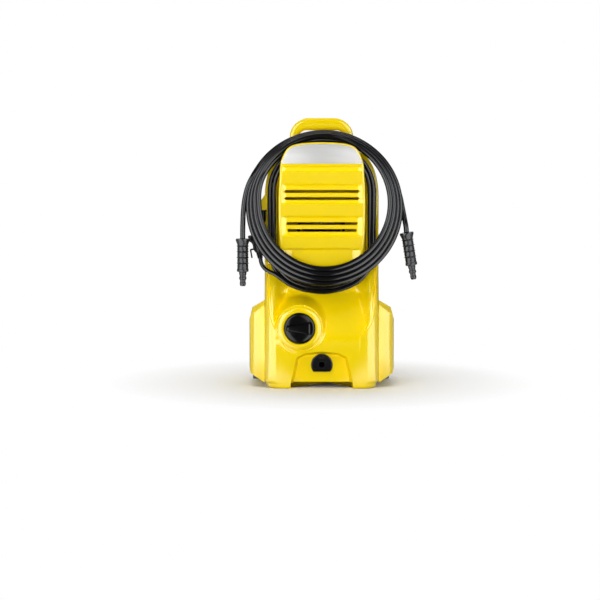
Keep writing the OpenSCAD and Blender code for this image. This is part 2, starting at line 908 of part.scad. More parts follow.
module pump_housing() {
    block_top = head_top + bore_block_h;
    color("#b9bcc0") difference() {
        at_pump()
            along_z(head_top, chamber_top)
                circle(head_half);
        at_pump()
            along_z(block_top, chamber_top + 1)
                circle(swash_r + 2);
        at_pistons() {
            translate([0, 0, head_top - 1])
                cylinder(r = piston_r + run, h = bore_block_h + 2);
            translate([0, 0, block_top - seal_h])
                cylinder(r = piston_r + seal_t, h = seal_h + 1);
        }
    }
}

seal_h = 4;
seal_t = 2.5;

module pump_seals() {
    color(black) at_pistons()
        tube_z(piston_r + seal_t, piston_r + run, head_top + bore_block_h - seal_h, head_top + bore_block_h);
}

collar_t = 3;

module piston(i) {
    color(steel) at_pump()
        rotate(piston_angle(i))
            translate([piston_ring_r, 0, 0]) {
                along_z(piston_low, piston_top)
                    circle(piston_r);
                along_z(piston_top - collar_t, piston_top)
                    circle(piston_r + 3.5);
            }
}

module piston_1() {
    piston(0);
}

module piston_2() {
    piston(1);
}

module piston_3() {
    piston(2);
}

spring_wire_r = 0.9;
spring_turns = 4;

module piston_spring(i) {
    low = head_top + bore_block_h + spring_wire_r + 0.1;
    high = piston_top - collar_t - spring_wire_r - 0.1;
    r = piston_r + 1.9;
    steps = spring_turns * 10;
    color(steel) at_pump()
        rotate(piston_angle(i))
            translate([piston_ring_r, 0, 0])
                swept_tube([for (k = [0:steps])
                    [r * cos(36 * k), r * sin(36 * k), low + (high - low) * k / steps]], spring_wire_r, 6);
}

module piston_spring_1() {
    piston_spring(0);
}

module piston_spring_2() {
    piston_spring(1);
}

module piston_spring_3() {
    piston_spring(2);
}

module swash_plate() {
    color(steel) at_pump()
        difference() {
            union() {
                translate([0, 0, swash_z])
                    rotate([swash_tilt, 0, 0])
                        cylinder(r = swash_r, h = 2 * swash_half_t, center = true);
                along_z(swash_z - 4, swash_z + 12)
                    circle(13);
            }
            along_z(swash_z + 2, swash_z + 13)
                circle(spindle_r + 0.02);
        }
}

module pump_spindle() {
    color(steel) at_pump()
        along_z(swash_z + 2, gear_low + gear_h + 2)
            circle(spindle_r);
}

module spindle_bearing() {
    color(steel) at_pump()
        tube_z(spindle_bearing_r, spindle_r + run, chamber_top, chamber_top + box_wall);
}

// ---- gears ----

module gearbox_outline(grow) {
    at_pump()
        circle(head_half + 2 + grow);
    at_motor()
        circle(frame_r + grow);
}

module gearbox_plate() {
    color(grey) along_z(chamber_top, chamber_top + box_wall)
        difference() {
            gearbox_outline(0);
            at_pump()
                circle(spindle_bearing_r);
        }
}

module gearbox_housing() {
    color(grey) difference() {
        along_z(chamber_top + box_wall, motor_low)
            gearbox_outline(0);
        along_z(chamber_top + box_wall - 1, motor_low - bearing_h) {
            at_pump()
                circle(gear_module * gear_teeth / 2 + 5);
            at_motor()
                circle(gear_module * pinion_teeth / 2 + 6);
        }
        at_motor()
            along_z(motor_low - bearing_h - 1, motor_low + 1)
                circle(bearing_r);
    }
}

// Spur gear with straight flanks and free play
function tooth(teeth, i, r, share) = let (a = 360 / teeth * (i + share)) [r * cos(a), r * sin(a)];
module spur_gear(teeth, bore) {
    r = gear_module * teeth / 2;
    tip = r + 0.85 * gear_module;
    root = r - 1.15 * gear_module;
    difference() {
        polygon([for (i = [0:teeth - 1]) each [tooth(teeth, i, root, -0.3), tooth(teeth, i, r, -0.2),
            tooth(teeth, i, tip, -0.1), tooth(teeth, i, tip, 0.1), tooth(teeth, i, r, 0.2),
            tooth(teeth, i, root, 0.3)]]);
        circle(bore);
    }
}

module drive_gear() {
    color("#e9e4d4") at_pump()
        along_z(gear_low, gear_low + gear_h)
            rotate(90)
                spur_gear(gear_teeth, spindle_r + 0.02);
}

module drive_pinion() {
    color(steel) at_motor()
        along_z(gear_low - 1, gear_low + gear_h + 1)
            rotate(90 + 180 / pinion_teeth)
                spur_gear(pinion_teeth, shaft_r + 0.02);
}

// ---- motor ----

module motor_shaft() {
    color(steel) at_motor()
        along_z(gear_low - 2, motor_top + bearing_h + 5)
            circle(shaft_r);
}

module motor_bearings() {
    color(steel) at_motor() {
        tube_z(bearing_r, shaft_r + run, motor_low - bearing_h, motor_low);
        tube_z(bearing_r, shaft_r + run, motor_top, motor_top + bearing_h);
    }
}

module rotor_core() {
    color(grey) at_motor()
        tube_z(rotor_r, shaft_r + 0.02, stator_low, stator_top);
}

commutator_r = 12.5;
commutator_low = stator_top + 14;
commutator_h = 18;
brush_z = commutator_low + commutator_h / 2;

module commutator() {
    color("#b87333") at_motor()
        difference() {
            along_z(commutator_low, commutator_low + commutator_h)
                circle(commutator_r);
            along_z(commutator_low - 1, commutator_low + commutator_h + 1)
                circle(shaft_r + 0.02);
            for (i = [0:11])
                rotate(30 * i)
                    translate([commutator_r, 0, brush_z])
                        cube([2, 0.6, commutator_h + 2], center = true);
        }
}

fan_hub_r = 9;
fan_hub_h = 12;
fan_disc_t = 2;
fan_disc_r = stator_r - 5;
fan_blades = 9;
fan_blade_t = 2;
fan_blade_root = 8;
fan_blade_h = 10;
fan_blade_len = fan_disc_r - fan_hub_r;
fan_low = motor_top - 17;

module cooling_fan() {
    color(black) at_motor() {
        tube_z(fan_hub_r, shaft_r + 0.02, fan_low, fan_low + fan_hub_h);
        tube_z(fan_disc_r, fan_blade_root, fan_low, fan_low + fan_disc_t);
        for (i = [0:fan_blades - 1])
            rotate(360 / fan_blades * i)
                translate([fan_blade_root, -fan_blade_t / 2, fan_low + fan_disc_t / 2])
                    cube([fan_blade_len, fan_blade_t, fan_blade_h]);
    }
}

module stator_core() {
    color(steel) at_motor()
        tube_z(stator_r, rotor_r + 0.8, stator_low, stator_top);
}

module field_coils() {
    color("#b5651d") at_motor() {
        tube_z(stator_r - 3, rotor_r + 2, stator_low - 6, stator_low);
        tube_z(stator_r - 3, rotor_r + 2, stator_top, stator_top + 7);
    }
}

module motor_frame() {
    color(grey) at_motor()
        difference() {
            union() {
                tube_z(frame_r, stator_r + run, motor_low, motor_top);
                tube_z(frame_r, bearing_r, motor_top - 0.5, motor_top + bearing_h);
            }
            for (i = [0:5])
                rotate(60 * i + 30)
                    translate([frame_r, 0, motor_top - 9])
                        cube([12, 20, 8], center = true);
        }
}

brush_half = 4;

module brush_holders() {
    color("#c8a650") at_motor()
        both_sides()
            difference() {
                intersection() {
                    translate([commutator_r + 4, -brush_half - 2, brush_z - brush_half - 2])
                        cube([stator_r, 2 * brush_half + 4, 2 * brush_half + 4]);
                    along_z(commutator_low, commutator_low + commutator_h)
                        circle(stator_r);
                }
                translate([commutator_r + 3, -brush_half - fit, brush_z - brush_half - fit])
                    cube([stator_r - commutator_r - 8, 2 * (brush_half + fit), 2 * (brush_half + fit)]);
            }
}

module carbon_brushes() {
    color("#2b2b2b") at_motor()
        both_sides()
            translate([commutator_r + 0.3, -brush_half, brush_z - brush_half])
                cube([16, 2 * brush_half, 2 * brush_half]);
}

// ---- mains cable ----

gland_plug_r = 5.5;
gland_seat = 6;
gland_ribs = 6;
gland_pitch = 3.6;
gland_rib_r = 7.6;

module cable_gland() {
    low = gland_top - gland_len;
    color(black) translate([gland_x, gland_y, 0])
        difference() {
            union() {
                along_z(low, gland_top + gland_seat)
                    circle(cable_d / 2 + 0.9);
                for (i = [1:gland_ribs])
                    along_z(gland_top - gland_pitch * i, gland_top - gland_pitch * (i - 0.6))
                        circle(gland_rib_r - 0.18 * i);
                along_z(gland_top - 1.5, gland_top)
                    circle(gland_rib_r);
                along_z(gland_top - 1, gland_top + gland_seat)
                    circle(gland_plug_r);
            }
            along_z(low - 1, low + 1)
                circle(cable_d / 2 + 0.01);
        }
}

module cable_lead() {
    color(black)
        swept_tube(lead_route, cable_d / 2, 10);
}

module cable_tail() {
    color(black)
        swept_tube(tail_route, cable_d / 2, 10);
}

module cable_winding() {
    color(black)
        along_y(-winding_front, -winding_back)
            difference() {
                neck_outline(winding_grow);
                neck_outline(winding_gap);
            }
}

plug_grip_top = plug_boot_len + plug_body_len;
plug_face_top = plug_grip_top + plug_face_t;

module at_plug() {
    translate(plug_at)
        rotate([0, -plug_lean, 0])
            children();
}

module mains_plug() {
    color(black) at_plug()
        difference() {
            union() {
                for (i = [0:3])
                    along_z(4.5 * i, 4.5 * i + 3)
                        circle(5.4 + 0.5 * i);
                along_z(0, plug_boot_len)
                    circle(4.7);
                along_z(plug_boot_len, plug_grip_top)
                    circle(12.5);
                along_z(plug_grip_top, plug_face_top)
                    circle(plug_face_r);
                translate([-17, -3, plug_boot_len - 14])
                    cube([2.5, 6, 18]);
                translate([-17, -3, plug_boot_len + 1])
                    cube([8, 6, 3]);
            }
            for (side = [-1, 1])
                translate([0, side * 9.5, plug_face_top - 8])
                    cylinder(r = plug_pin_r, h = 9);
        }
}

plug_pin_r = 2.4;

module plug_pins() {
    color(steel) at_plug()
        for (side = [-1, 1])
            translate([0, side * 9.5, plug_face_top - 8])
                cylinder(r = plug_pin_r, h = 8 + plug_pin_len);
}

// ---- hose ----

module hose_coil() {
    color(black) difference() {
        translate(hose_centre)
            rotate([90 - hose_tilt, 0, 0])
                difference() {
                    cylinder(r = hose_coil_r, h = hose_coil_t, center = true);
                    translate([0, hose_sag, 0])
                        cylinder(r = hose_coil_inner_r, h = hose_coil_t + 2, center = true);
                }
        along_y(-winding_front - coil_gap, -winding_back + coil_gap)
            neck_outline(winding_grow + coil_gap);
    }
}

module hose_tail_left() {
    color(black)
        swept_tube(hose_left_route, hose_d / 2, 10);
}

module hose_tail_right() {
    color(black)
        swept_tube(hose_right_route, hose_d / 2, 10);
}

// Hose end: flange, ribbed sleeve and stepped nipple, along -Z from its top
module connector(nose_r) {
    body_r = 11.2;
    color(black) {
        along_z(-4, 0)
            circle(13.5);
        along_z(-connector_len, -4)
            circle(body_r);
        for (i = [0:3])
            along_z(-20 - 11 * i, -16 - 11 * i)
                circle(body_r + 0.7);
        along_z(-connector_len - 12, -connector_len)
            circle(nose_r);
        along_z(-connector_len - nipple_tip_len, -connector_len - 12)
            circle(socket_bore_r - 0.4);
    }
}

module left_connector() {
    translate(hose_left_route[len(hose_left_route) - 1])
        connector(7.3);
}

module right_connector() {
    translate(hose_right_route[len(hose_right_route) - 1])
        rotate([0, -connector_lean, 0])
            connector(5.3);
}

rear_shell();
front_shell();
cable_neck();
grille_panel();
panel_label();
left_side_cover();
right_side_cover();
base_plate();
rear_feet();
carrying_handle();
housing_screws();
power_knob();
knob_shaft();
switch_box();
outlet_port();
outlet_socket();
outlet_latch();
outlet_pipe();
inlet_nipple();
inlet_filter();
inlet_pipe();
cylinder_head();
pump_housing();
pump_seals();
piston_1();
piston_2();
piston_3();
piston_spring_1();
piston_spring_2();
piston_spring_3();
swash_plate();
pump_spindle();
spindle_bearing();
gearbox_plate();
gearbox_housing();
drive_gear();
drive_pinion();
motor_shaft();
motor_bearings();
rotor_core();
commutator();
cooling_fan();
stator_core();
field_coils();
motor_frame();
brush_holders();
carbon_brushes();
pressure_switch();
pressure_plunger();
cable_gland();
cable_lead();
cable_winding();
cable_tail();
mains_plug();
plug_pins();
hose_coil();
hose_tail_left();
hose_tail_right();
left_connector();
right_connector();
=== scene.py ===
"""Compact pressure washer: a yellow housing that carries its mains cable and its high-pressure hose.

Lengths are in millimetres until a mesh or a curve is made. X runs to the right, Y to the back and Z up.
"""
from math import asin, cos, degrees, hypot, pi, radians, sin, sqrt, tan

import bmesh
import bpy
import numpy as np
from mathutils import Matrix, Vector


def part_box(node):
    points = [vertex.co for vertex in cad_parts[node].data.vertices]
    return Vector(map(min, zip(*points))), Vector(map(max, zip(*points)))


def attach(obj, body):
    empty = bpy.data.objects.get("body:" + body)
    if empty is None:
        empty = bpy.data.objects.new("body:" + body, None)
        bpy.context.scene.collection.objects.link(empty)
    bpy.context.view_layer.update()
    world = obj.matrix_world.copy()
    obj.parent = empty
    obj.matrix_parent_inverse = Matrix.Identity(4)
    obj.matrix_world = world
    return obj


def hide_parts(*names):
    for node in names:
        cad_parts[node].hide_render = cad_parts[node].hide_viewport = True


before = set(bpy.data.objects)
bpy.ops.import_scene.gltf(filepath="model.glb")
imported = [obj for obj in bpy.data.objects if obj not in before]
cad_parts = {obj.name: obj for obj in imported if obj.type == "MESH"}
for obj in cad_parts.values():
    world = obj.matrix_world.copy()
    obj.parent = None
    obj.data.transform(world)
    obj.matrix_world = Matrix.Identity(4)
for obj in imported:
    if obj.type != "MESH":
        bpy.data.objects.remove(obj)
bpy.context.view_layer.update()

MM = 0.001

# ---- sizes from the CAD nodes in model.glb


def node_box(node):
    """Lowest and highest corner of a CAD node, in millimetres."""
    low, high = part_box(node)
    return low / MM, high / MM


front_high = node_box("front_shell")[1]
rear_low, rear_high = node_box("rear_shell")
panel_low, panel_high = node_box("grille_panel")
label_low, label_high = node_box("panel_label")
neck_low, neck_high = node_box("cable_neck")
pod_low, pod_high = node_box("right_side_cover")
knob_low, knob_high = node_box("power_knob")
latch_low, latch_high = node_box("outlet_latch")
handle_low, handle_high = node_box("carrying_handle")
winding_low, winding_high = node_box("cable_winding")
feet_low, feet_high = node_box("rear_feet")

HALF_W = front_high.x
WALL = 3.0
SLOT_REACH = -front_high.y
FRONT_REACH = 112.0
FRONT_TOP = front_high.z
CORNER_R = 22.0
SHELL_BOTTOM = rear_low.z
REAR_REACH = rear_high.y
HOUSING_TOP = rear_high.z
KNOB_X, _, KNOB_Z = (knob_low + knob_high) / 2
KNOB_R = (knob_high.x - knob_low.x) / 2
PORT_Z = 45.5

# ---- camera and lamps

WHITE = (1, 1, 1)
CAMERA_PLACE = (-0.042, -4.396, 0.548)
CAMERA_TARGET = (-0.042, -0.112, 0.172)
CAMERA_LENS = 134.3
LAMP_TARGET = (0, 0, 0.25)
# Name, place and size in metres, power in watts, and whether glossy surfaces mirror the lamp
LAMPS = [("key_lamp", (-0.4, -1.7, 2.3), (1.4, 1.0), 20, False),
         ("fill_lamp", (-0.3, -3.0, 0.35), (1.4, 0.6), 33, False),
         ("left_lamp", (-1.9, -1.9, 0.8), (1.0, 1.4), 10, True),
         ("right_lamp", (1.9, -1.8, 0.8), (1.0, 1.4), 9, True),
         ("top_lamp", (0, 0.4, 2.4), (1.8, 0.8), 7, True),
         ("back_lamp", (0.2, 2.2, 1.4), (1.8, 1.2), 14, True)]

scene = bpy.context.scene
scene.view_settings.view_transform = "Standard"


def linked(name, data):
    """New object in the scene."""
    obj = bpy.data.objects.new(name, data)
    scene.collection.objects.link(obj)
    return obj


def put(name, data, place, target):
    """Place a camera or a lamp, and turn its -Z axis to the target."""
    obj = linked(name, data)
    obj.location = place
    obj.rotation_euler = (Vector(target) - obj.location).to_track_quat("-Z", "Y").to_euler()
    return obj


camera_data = bpy.data.cameras.new("camera")
camera_data.lens = CAMERA_LENS
camera_data.sensor_width = 36
scene.camera = put("camera", camera_data, CAMERA_PLACE, CAMERA_TARGET)
for name, place, size, watts, mirrored_too in LAMPS:
    data = bpy.data.lights.new(name, "AREA")
    data.shape = "RECTANGLE"
    data.size, data.size_y = size
    data.energy = watts
    put(name, data, place, LAMP_TARGET).visible_glossy = mirrored_too

# ---- node trees


class Graph:
    """A node tree, with short names for what is used again and again."""

    def __init__(self, tree):
        self.tree = tree

    def node(self, kind, **settings):
        node = self.tree.nodes.new("ShaderNode" + kind)
        for key, value in settings.items():
            setattr(node, key, value)
        return node

    def feed(self, socket, value):
        """Link an output to a socket, or set the socket's own value."""
        if isinstance(value, bpy.types.NodeSocket):
            self.tree.links.new(value, socket)
        else:
            socket.default_value = (*value, 1) if socket.type == "RGBA" else value

    def fed(self, kind, *values, named=None, **settings):
        """Node whose first inputs take these values, and whose named inputs take theirs."""
        node = self.node(kind, **settings)
        named = {node.inputs[key]: value for key, value in (named or {}).items()}
        for socket, value in [*zip(node.inputs, values), *named.items()]:
            self.feed(socket, value)
        return node

    def math(self, operation, *values):
        return self.fed("Math", *values, operation=operation).outputs[0]

    def vector(self, operation, *values, output="Vector"):
        return self.fed("VectorMath", *values, operation=operation).outputs[output]

    def range(self, source, low, high, start=0.3, end=0.7, **settings):
        """A value from start to end turned into one from low to high, and held there beyond them."""
        return self.fed("MapRange", source, start, end, low, high, **settings).outputs["Result"]

    def mix(self, factor, dark, light):
        node = self.node("Mix", data_type="RGBA")
        ends = [socket for socket in node.inputs if socket.type == "RGBA"]
        for socket, value in zip([node.inputs["Factor"], *ends], (factor, dark, light)):
            self.feed(socket, value)
        return next(socket for socket in node.outputs if socket.type == "RGBA")

    def blend(self, factor, one, two):
        """One shader or another."""
        return self.fed("MixShader", factor, one, two).outputs[0]


class Finish(Graph):
    """A material's node tree."""

    def __init__(self, name):
        self.material = bpy.data.materials.new(name)
        self.material.use_nodes = True
        super().__init__(self.material.node_tree)
        self.shader = self.tree.nodes["Principled BSDF"]
        self.place = self.node("TexCoord").outputs["Object"]

    def shade(self, **values):
        """Feed the shader's sockets, named with _ for a space."""
        for name, value in values.items():
            self.feed(self.shader.inputs[name.replace("_", " ")], value)

    def noise(self, size, detail=3.0, stretch=(1, 1, 1), roughness=0.5):
        """Noise whose blobs are about size metres wide, stretched along an axis."""
        place = self.fed("Mapping", self.place, named={"Scale": [1 / s for s in stretch]}).outputs["Vector"]
        shape = {"Scale": 1 / size, "Detail": detail, "Roughness": roughness}
        return self.fed("TexNoise", place, named=shape).outputs["Fac"]

    def bump(self, height, distance):
        return self.fed("Bump", named={"Distance": distance, "Height": height}).outputs["Normal"]

# ---- studio

# Bands that glossy surfaces see as tall bright boxes: direction, edge and core in degrees, and strength
SIDE_BOXES = [((-0.643, -0.766, 0), 32, 22, 14.0), ((0.643, -0.766, 0), 32, 22, 13.0),
              ((-0.985, -0.17, 0), 36, 18, 2.2), ((0.985, -0.17, 0), 32, 18, 2.2)]


def side_boxes(g, source):
    """Strength of the bright bands in a direction from the middle."""
    level = g.vector("NORMALIZE", g.vector("MULTIPLY", source, (1, 1, 0)))
    total = 0.0
    for towards, edge, core, glow in SIDE_BOXES:
        along = g.vector("DOT_PRODUCT", level, towards, output="Value")
        band = g.range(along, 0.0, glow, cos(radians(edge)), cos(radians(core)),
                       interpolation_type="SMOOTHSTEP")
        total = g.math("ADD", total, band)
    return total


scene.world = bpy.data.worlds.new("studio")
scene.world.use_nodes = True
g = Graph(scene.world.node_tree)
g.tree.nodes.clear()
rays = g.node("LightPath").outputs
direction = g.node("TexCoord").outputs["Generated"]
axes = g.fed("SeparateXYZ", direction).outputs
soft_light = g.math("MULTIPLY", g.range(axes["Y"], 0.08, 0.55, -0.6, 0.9),
                    g.range(axes["Z"], 0.4, 1.1, -0.4, 0.5))
low_and_glossy = g.math("MULTIPLY", g.range(axes["Z"], 0.0, 1.0, 0.7, 0.5), rays["Is Glossy Ray"])
boxes = g.math("MULTIPLY", side_boxes(g, direction), low_and_glossy)
studio = g.fed("Background", (0.97, 0.985, 1.0), g.math("ADD", soft_light, boxes)).outputs[0]
seen_white = g.fed("Background", WHITE, 1.0).outputs[0]
g.fed("OutputWorld", g.blend(rays["Is Camera Ray"], studio, seen_white))

# ---- materials


def toned(colour, share):
    return tuple(min(1.0, max(0.0, c * share)) for c in colour)


def finish(name, colour, roughness, metallic=0.0, spread=0.05, cloud=0.05, grain=0.0007, depth=0.00002,
           rough_spread=0.05, stretch=(1, 1, 1), specular=0.5):
    """A moulded or machined finish: clouded colour, uneven gloss and a fine grain in the surface."""
    g = Finish(name)
    clouds = g.range(g.noise(cloud, 4.0, stretch), 0.0, 1.0)
    smudges = g.noise(cloud * 0.35, 5.0, stretch, 0.65)
    g.shade(Metallic=metallic, Specular_IOR_Level=specular,
            Base_Color=g.mix(clouds, toned(colour, 1 - spread), toned(colour, 1 + spread)),
            Roughness=g.range(smudges, max(0.02, roughness - rough_spread), roughness + rough_spread),
            Normal=g.bump(g.noise(grain, 2.0, stretch), depth))
    return g.material


def wound_finish(name, colour, roughness, pitch, metallic):
    """Fine parallel turns or sheets, as on a coil or a stack of laminations."""
    g = Finish(name)
    lines = g.fed("TexWave", g.place, named={"Scale": 1 / (pitch * 20), "Distortion": 0.6},
                  bands_direction="Z").outputs["Fac"]
    g.shade(Metallic=metallic, Base_Color=g.mix(lines, toned(colour, 0.6), toned(colour, 1.1)),
            Roughness=g.range(g.noise(0.004), roughness - 0.06, roughness + 0.06),
            Normal=g.bump(lines, 0.0002))
    return g.material


# Slot, colour, roughness, and what differs from the usual finish
FINISHES = [
    ("yellow_shell", (0.96, 0.705, 0.001), 0.13,
     dict(spread=0.02, cloud=0.12, grain=0.0009, depth=0.000008, rough_spread=0.02, specular=0.25)),
    ("black_plastic", (0.008, 0.008, 0.009), 0.2,
     dict(spread=0.12, grain=0.0008, depth=0.000008, specular=0.07)),
    ("black_knob", (0.004, 0.004, 0.004), 0.14, dict(spread=0.1, rough_spread=0.03, specular=0.07)),
    ("black_hose", (0.006, 0.006, 0.007), 0.11,
     dict(spread=0.15, cloud=0.03, grain=0.0011, depth=0.000008, rough_spread=0.03, specular=0.12)),
    ("grey_plastic", (0.014, 0.0145, 0.016), 0.26, dict(spread=0.1, depth=0.000012, specular=0.12)),
    ("grey_rubber", (0.05, 0.05, 0.052), 0.7, dict(spread=0.15, depth=0.00005)),
    ("gear_plastic", (0.72, 0.7, 0.62), 0.4, dict(spread=0.04)),
    ("white_plastic", (0.75, 0.75, 0.73), 0.4, dict(spread=0.03)),
    ("label_sheet", (0.345, 0.34, 0.33), 0.42,
     dict(metallic=0.05, spread=0.03, cloud=0.006, grain=0.0006, depth=0.000008, stretch=(30, 1, 1))),
    ("brass", (0.72, 0.5, 0.2), 0.28, dict(metallic=1.0, spread=0.08)),
    ("ground_steel", (0.6, 0.6, 0.6), 0.24, dict(metallic=1.0, spread=0.06, stretch=(1, 1, 8))),
    ("zinc_screw", (0.62, 0.63, 0.66), 0.32, dict(metallic=1.0, spread=0.08)),
    ("pin_plate", (0.75, 0.74, 0.7), 0.2, dict(metallic=1.0, spread=0.05)),
    ("pump_alloy", (0.56, 0.57, 0.58), 0.5, dict(metallic=0.85, spread=0.12, grain=0.0006, depth=0.00008)),
    ("carbon", (0.03, 0.03, 0.03), 0.6, dict(spread=0.2, depth=0.00006))]
MATERIALS = {slot: finish(slot + "_finish", colour, roughness, **more)
             for slot, colour, roughness, more in FINISHES}
MATERIALS["copper_winding"] = wound_finish("copper_winding_finish", (0.6, 0.24, 0.09), 0.35, 0.0008, 0.9)
MATERIALS["laminated_iron"] = wound_finish("laminated_iron_finish", (0.3, 0.3, 0.31), 0.5, 0.0006, 0.8)

# ---- making pieces


def new_mesh(name, points, faces):
    mesh = bpy.data.meshes.new(name)
    mesh.from_pydata([Vector(p) * MM for p in points], [], faces)
    mesh.validate()
    mesh.update()
    return outward(linked(name, mesh))


def outward(obj):
    """Turn the faces of a closed mesh outwards."""
    bm = bmesh.new()
    bm.from_mesh(obj.data)
    bmesh.ops.recalc_face_normals(bm, faces=bm.faces)
    bm.to_mesh(obj.data)
    bm.free()
    return obj


def modified(obj, kind, **settings):
    """Change a mesh by a modifier, applied at once."""
    modifier = obj.modifiers.new(kind, kind)
    for key, value in settings.items():
        setattr(modifier, key, value)
    old = obj.data
    obj.data = bpy.data.meshes.new_from_object(obj.evaluated_get(bpy.context.evaluated_depsgraph_get()))
    obj.modifiers.clear()
    bpy.data.meshes.remove(old)
    return obj


def bevelled(obj, width, angle):
    return modified(obj, "BEVEL", width=width * MM, segments=3, limit_method="ANGLE",
                    angle_limit=radians(angle))


def combined(obj, others, operation):
    """Union, intersection or difference with closed solids, which are used up."""
    for other in others:
        modified(obj, "BOOLEAN", operation=operation, solver="MANIFOLD", object=other)
        bpy.data.objects.remove(other)
    return obj


def cut(obj, *others):
    return combined(obj, others, "DIFFERENCE")


def joined(obj, *others):
    return combined(obj, others, "UNION")


def piece(obj, slot, *replaces, body="housing", angle=32):
    """Give a finished mesh its shading, the material of its slot and its body, and hide the CAD nodes it
    stands for.
    """
    for polygon in obj.data.polygons:
        polygon.use_smooth = True
    obj.data.set_sharp_from_angle(angle=radians(angle))
    obj.data.materials.clear()
    obj.data.materials.append(MATERIALS[slot])
    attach(obj, body)
    if replaces:
        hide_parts(*replaces)
    return obj


def loft(name, rings):
    """Closed solid through rings of equally many points, with flat ends."""
    count = len(rings[0])
    faces = [[i + j, i + (j + 1) % count, i + (j + 1) % count + count, i + j + count]
             for i in range(0, (len(rings) - 1) * count, count) for j in range(count)]
    faces.append(list(range(count))[::-1])
    faces.append(list(range((len(rings) - 1) * count, len(rings) * count)))
    return new_mesh(name, [p for ring in rings for p in ring], faces)


def lathe(name, profile, sides=64, place=Matrix.Identity(4), ring=False):
    """Solid turned about Z from (radius, height) points, then put in its place.

    A point on the axis closes an end, and a ring runs from its last point back to its first.
    """
    rings, points = [], []
    turns = [2 * pi * i / sides for i in range(sides)]
    for radius, height in profile:
        circle = [(radius * cos(a), radius * sin(a), height) for a in turns] if radius else [(0, 0, height)]
        rings.append([len(points) + i for i in range(len(circle))])
        points += circle
    faces = []
    for one, two in zip(rings, rings[1:] + rings[:1] if ring else rings[1:]):
        for j in range(sides):
            k = (j + 1) % sides
            face = [one[j % len(one)], one[k % len(one)], two[k % len(two)], two[j % len(two)]]
            faces.append(list(dict.fromkeys(face)))
    if not ring:
        faces += [end for end in (rings[0][::-1], rings[-1]) if len(end) > 1]
    return new_mesh(name, [place @ Vector(p) for p in points], faces)


def rod(name, radius, low, high, sides, place):
    """Plain cylinder, for a hole or a barrel."""
    return lathe(name, [(0, low), (radius, low), (radius, high), (0, high)], sides, place)


def spun(angle, axis):
    return Matrix.Rotation(radians(angle), 4, axis)


def facing_front(x, z):
    """Place for a solid whose Z axis then points to the front, -Y."""
    return Matrix.Translation((x, 0, z)) @ spun(90, "X")


def facing_back(x, z):
    return Matrix.Translation((x, 0, z)) @ spun(-90, "X")


def moved(obj, place):
    """Move a mesh by a matrix in millimetres."""
    obj.data.transform(Matrix.Scale(MM, 4) @ place @ Matrix.Scale(1 / MM, 4))
    return obj


def box_solid(name, low, high):
    (x0, y0, z0), (x1, y1, z1) = low, high
    return loft(name, [[(x0, y0, z), (x1, y0, z), (x1, y1, z), (x0, y1, z)] for z in (z0, z1)])


def mirrored(half):
    """Closed outline from its right half, given from the bottom to the top."""
    return list(half) + [(-x, z) for x, z in reversed(half) if x > 1e-6]


def grown(outline, distance):
    """Outline moved outwards along its normals."""
    edges = list(zip(outline, outline[1:] + outline[:1]))
    sign = 1 if sum(ax * bz - bx * az for (ax, az), (bx, bz) in edges) > 0 else -1
    normals = [Vector((bz - az, ax - bx)).normalized() for (ax, az), (bx, bz) in edges]
    out = []
    for (x, z), before, after in zip(outline, normals[-1:] + normals, normals):
        n = (before + after).normalized()
        reach = sign * distance / max(0.5, n.dot(before))
        out.append((x + n.x * reach, z + n.y * reach))
    return out


def rounded(corners, steps=6):
    """Outline from corners (x, z, radius), each rounded by an arc."""
    out = []
    for i, (x, z, r) in enumerate(corners):
        if r <= 0:
            out.append((x, z))
            continue
        at = Vector((x, z))
        before = (Vector(corners[i - 1][:2]) - at).normalized()
        after = (Vector(corners[(i + 1) % len(corners)][:2]) - at).normalized()
        half = before.angle(after) / 2
        centre = at + (before + after).normalized() * (r / sin(half))
        start, end = (at + side * (r / tan(half)) - centre for side in (before, after))
        turn = start.angle_signed(end)
        for k in range(steps + 1):
            c, s = cos(-turn * k / steps), sin(-turn * k / steps)
            out.append((centre.x + start.x * c - start.y * s, centre.y + start.x * s + start.y * c))
    return out


def stack(name, outline, levels):
    """Closed solid from one outline in X and Z, at levels (y, growth)."""
    return through(name, lambda growth: grown(outline, growth), levels)


def through(name, outline_at, levels):
    """Closed solid whose outline in X and Z follows from the growth, at levels (y, growth)."""
    return loft(name, [[(x, y, z) for x, z in outline_at(growth)] for y, growth in levels])


CORNERS = ((-1, -1), (1, -1), (1, 1), (-1, 1))


def rectangle(half_w, half_h, radius, steps, z=0):
    """Rounded rectangle about a middle height."""
    return rounded([(sx * half_w, z + sz * half_h, radius) for sx, sz in CORNERS], steps)


def arc_points(x, z, r, start, end, steps):
    turns = [radians(start + (end - start) * i / steps) for i in range(steps + 1)]
    return [(x + r * cos(a), z + r * sin(a)) for a in turns]


def eased(t):
    """Smooth step from 0 to 1."""
    t = min(1.0, max(0.0, t))
    return t * t * (3 - 2 * t)


def between(x, places, *columns):
    """Each column's value at x, read between its places."""
    return [float(np.interp(x, places, column)) for column in columns]


def repeated(count, start, pitch, section, flare=0.0):
    """Profile points of one rib, repeated along the axis."""
    return [(radius + flare * k, start + pitch * k + height)
            for k in range(count) for radius, height in section]

# ---- cords

CABLE_D = 8.0
HOSE_D = 10.0
GLAND = (-114, -66.2)
PLUG_PLACE = (-118.5, -81, 250)
LEFT_END = (-152, -103, 290)
RIGHT_END = (162.4, -103, 301.8)

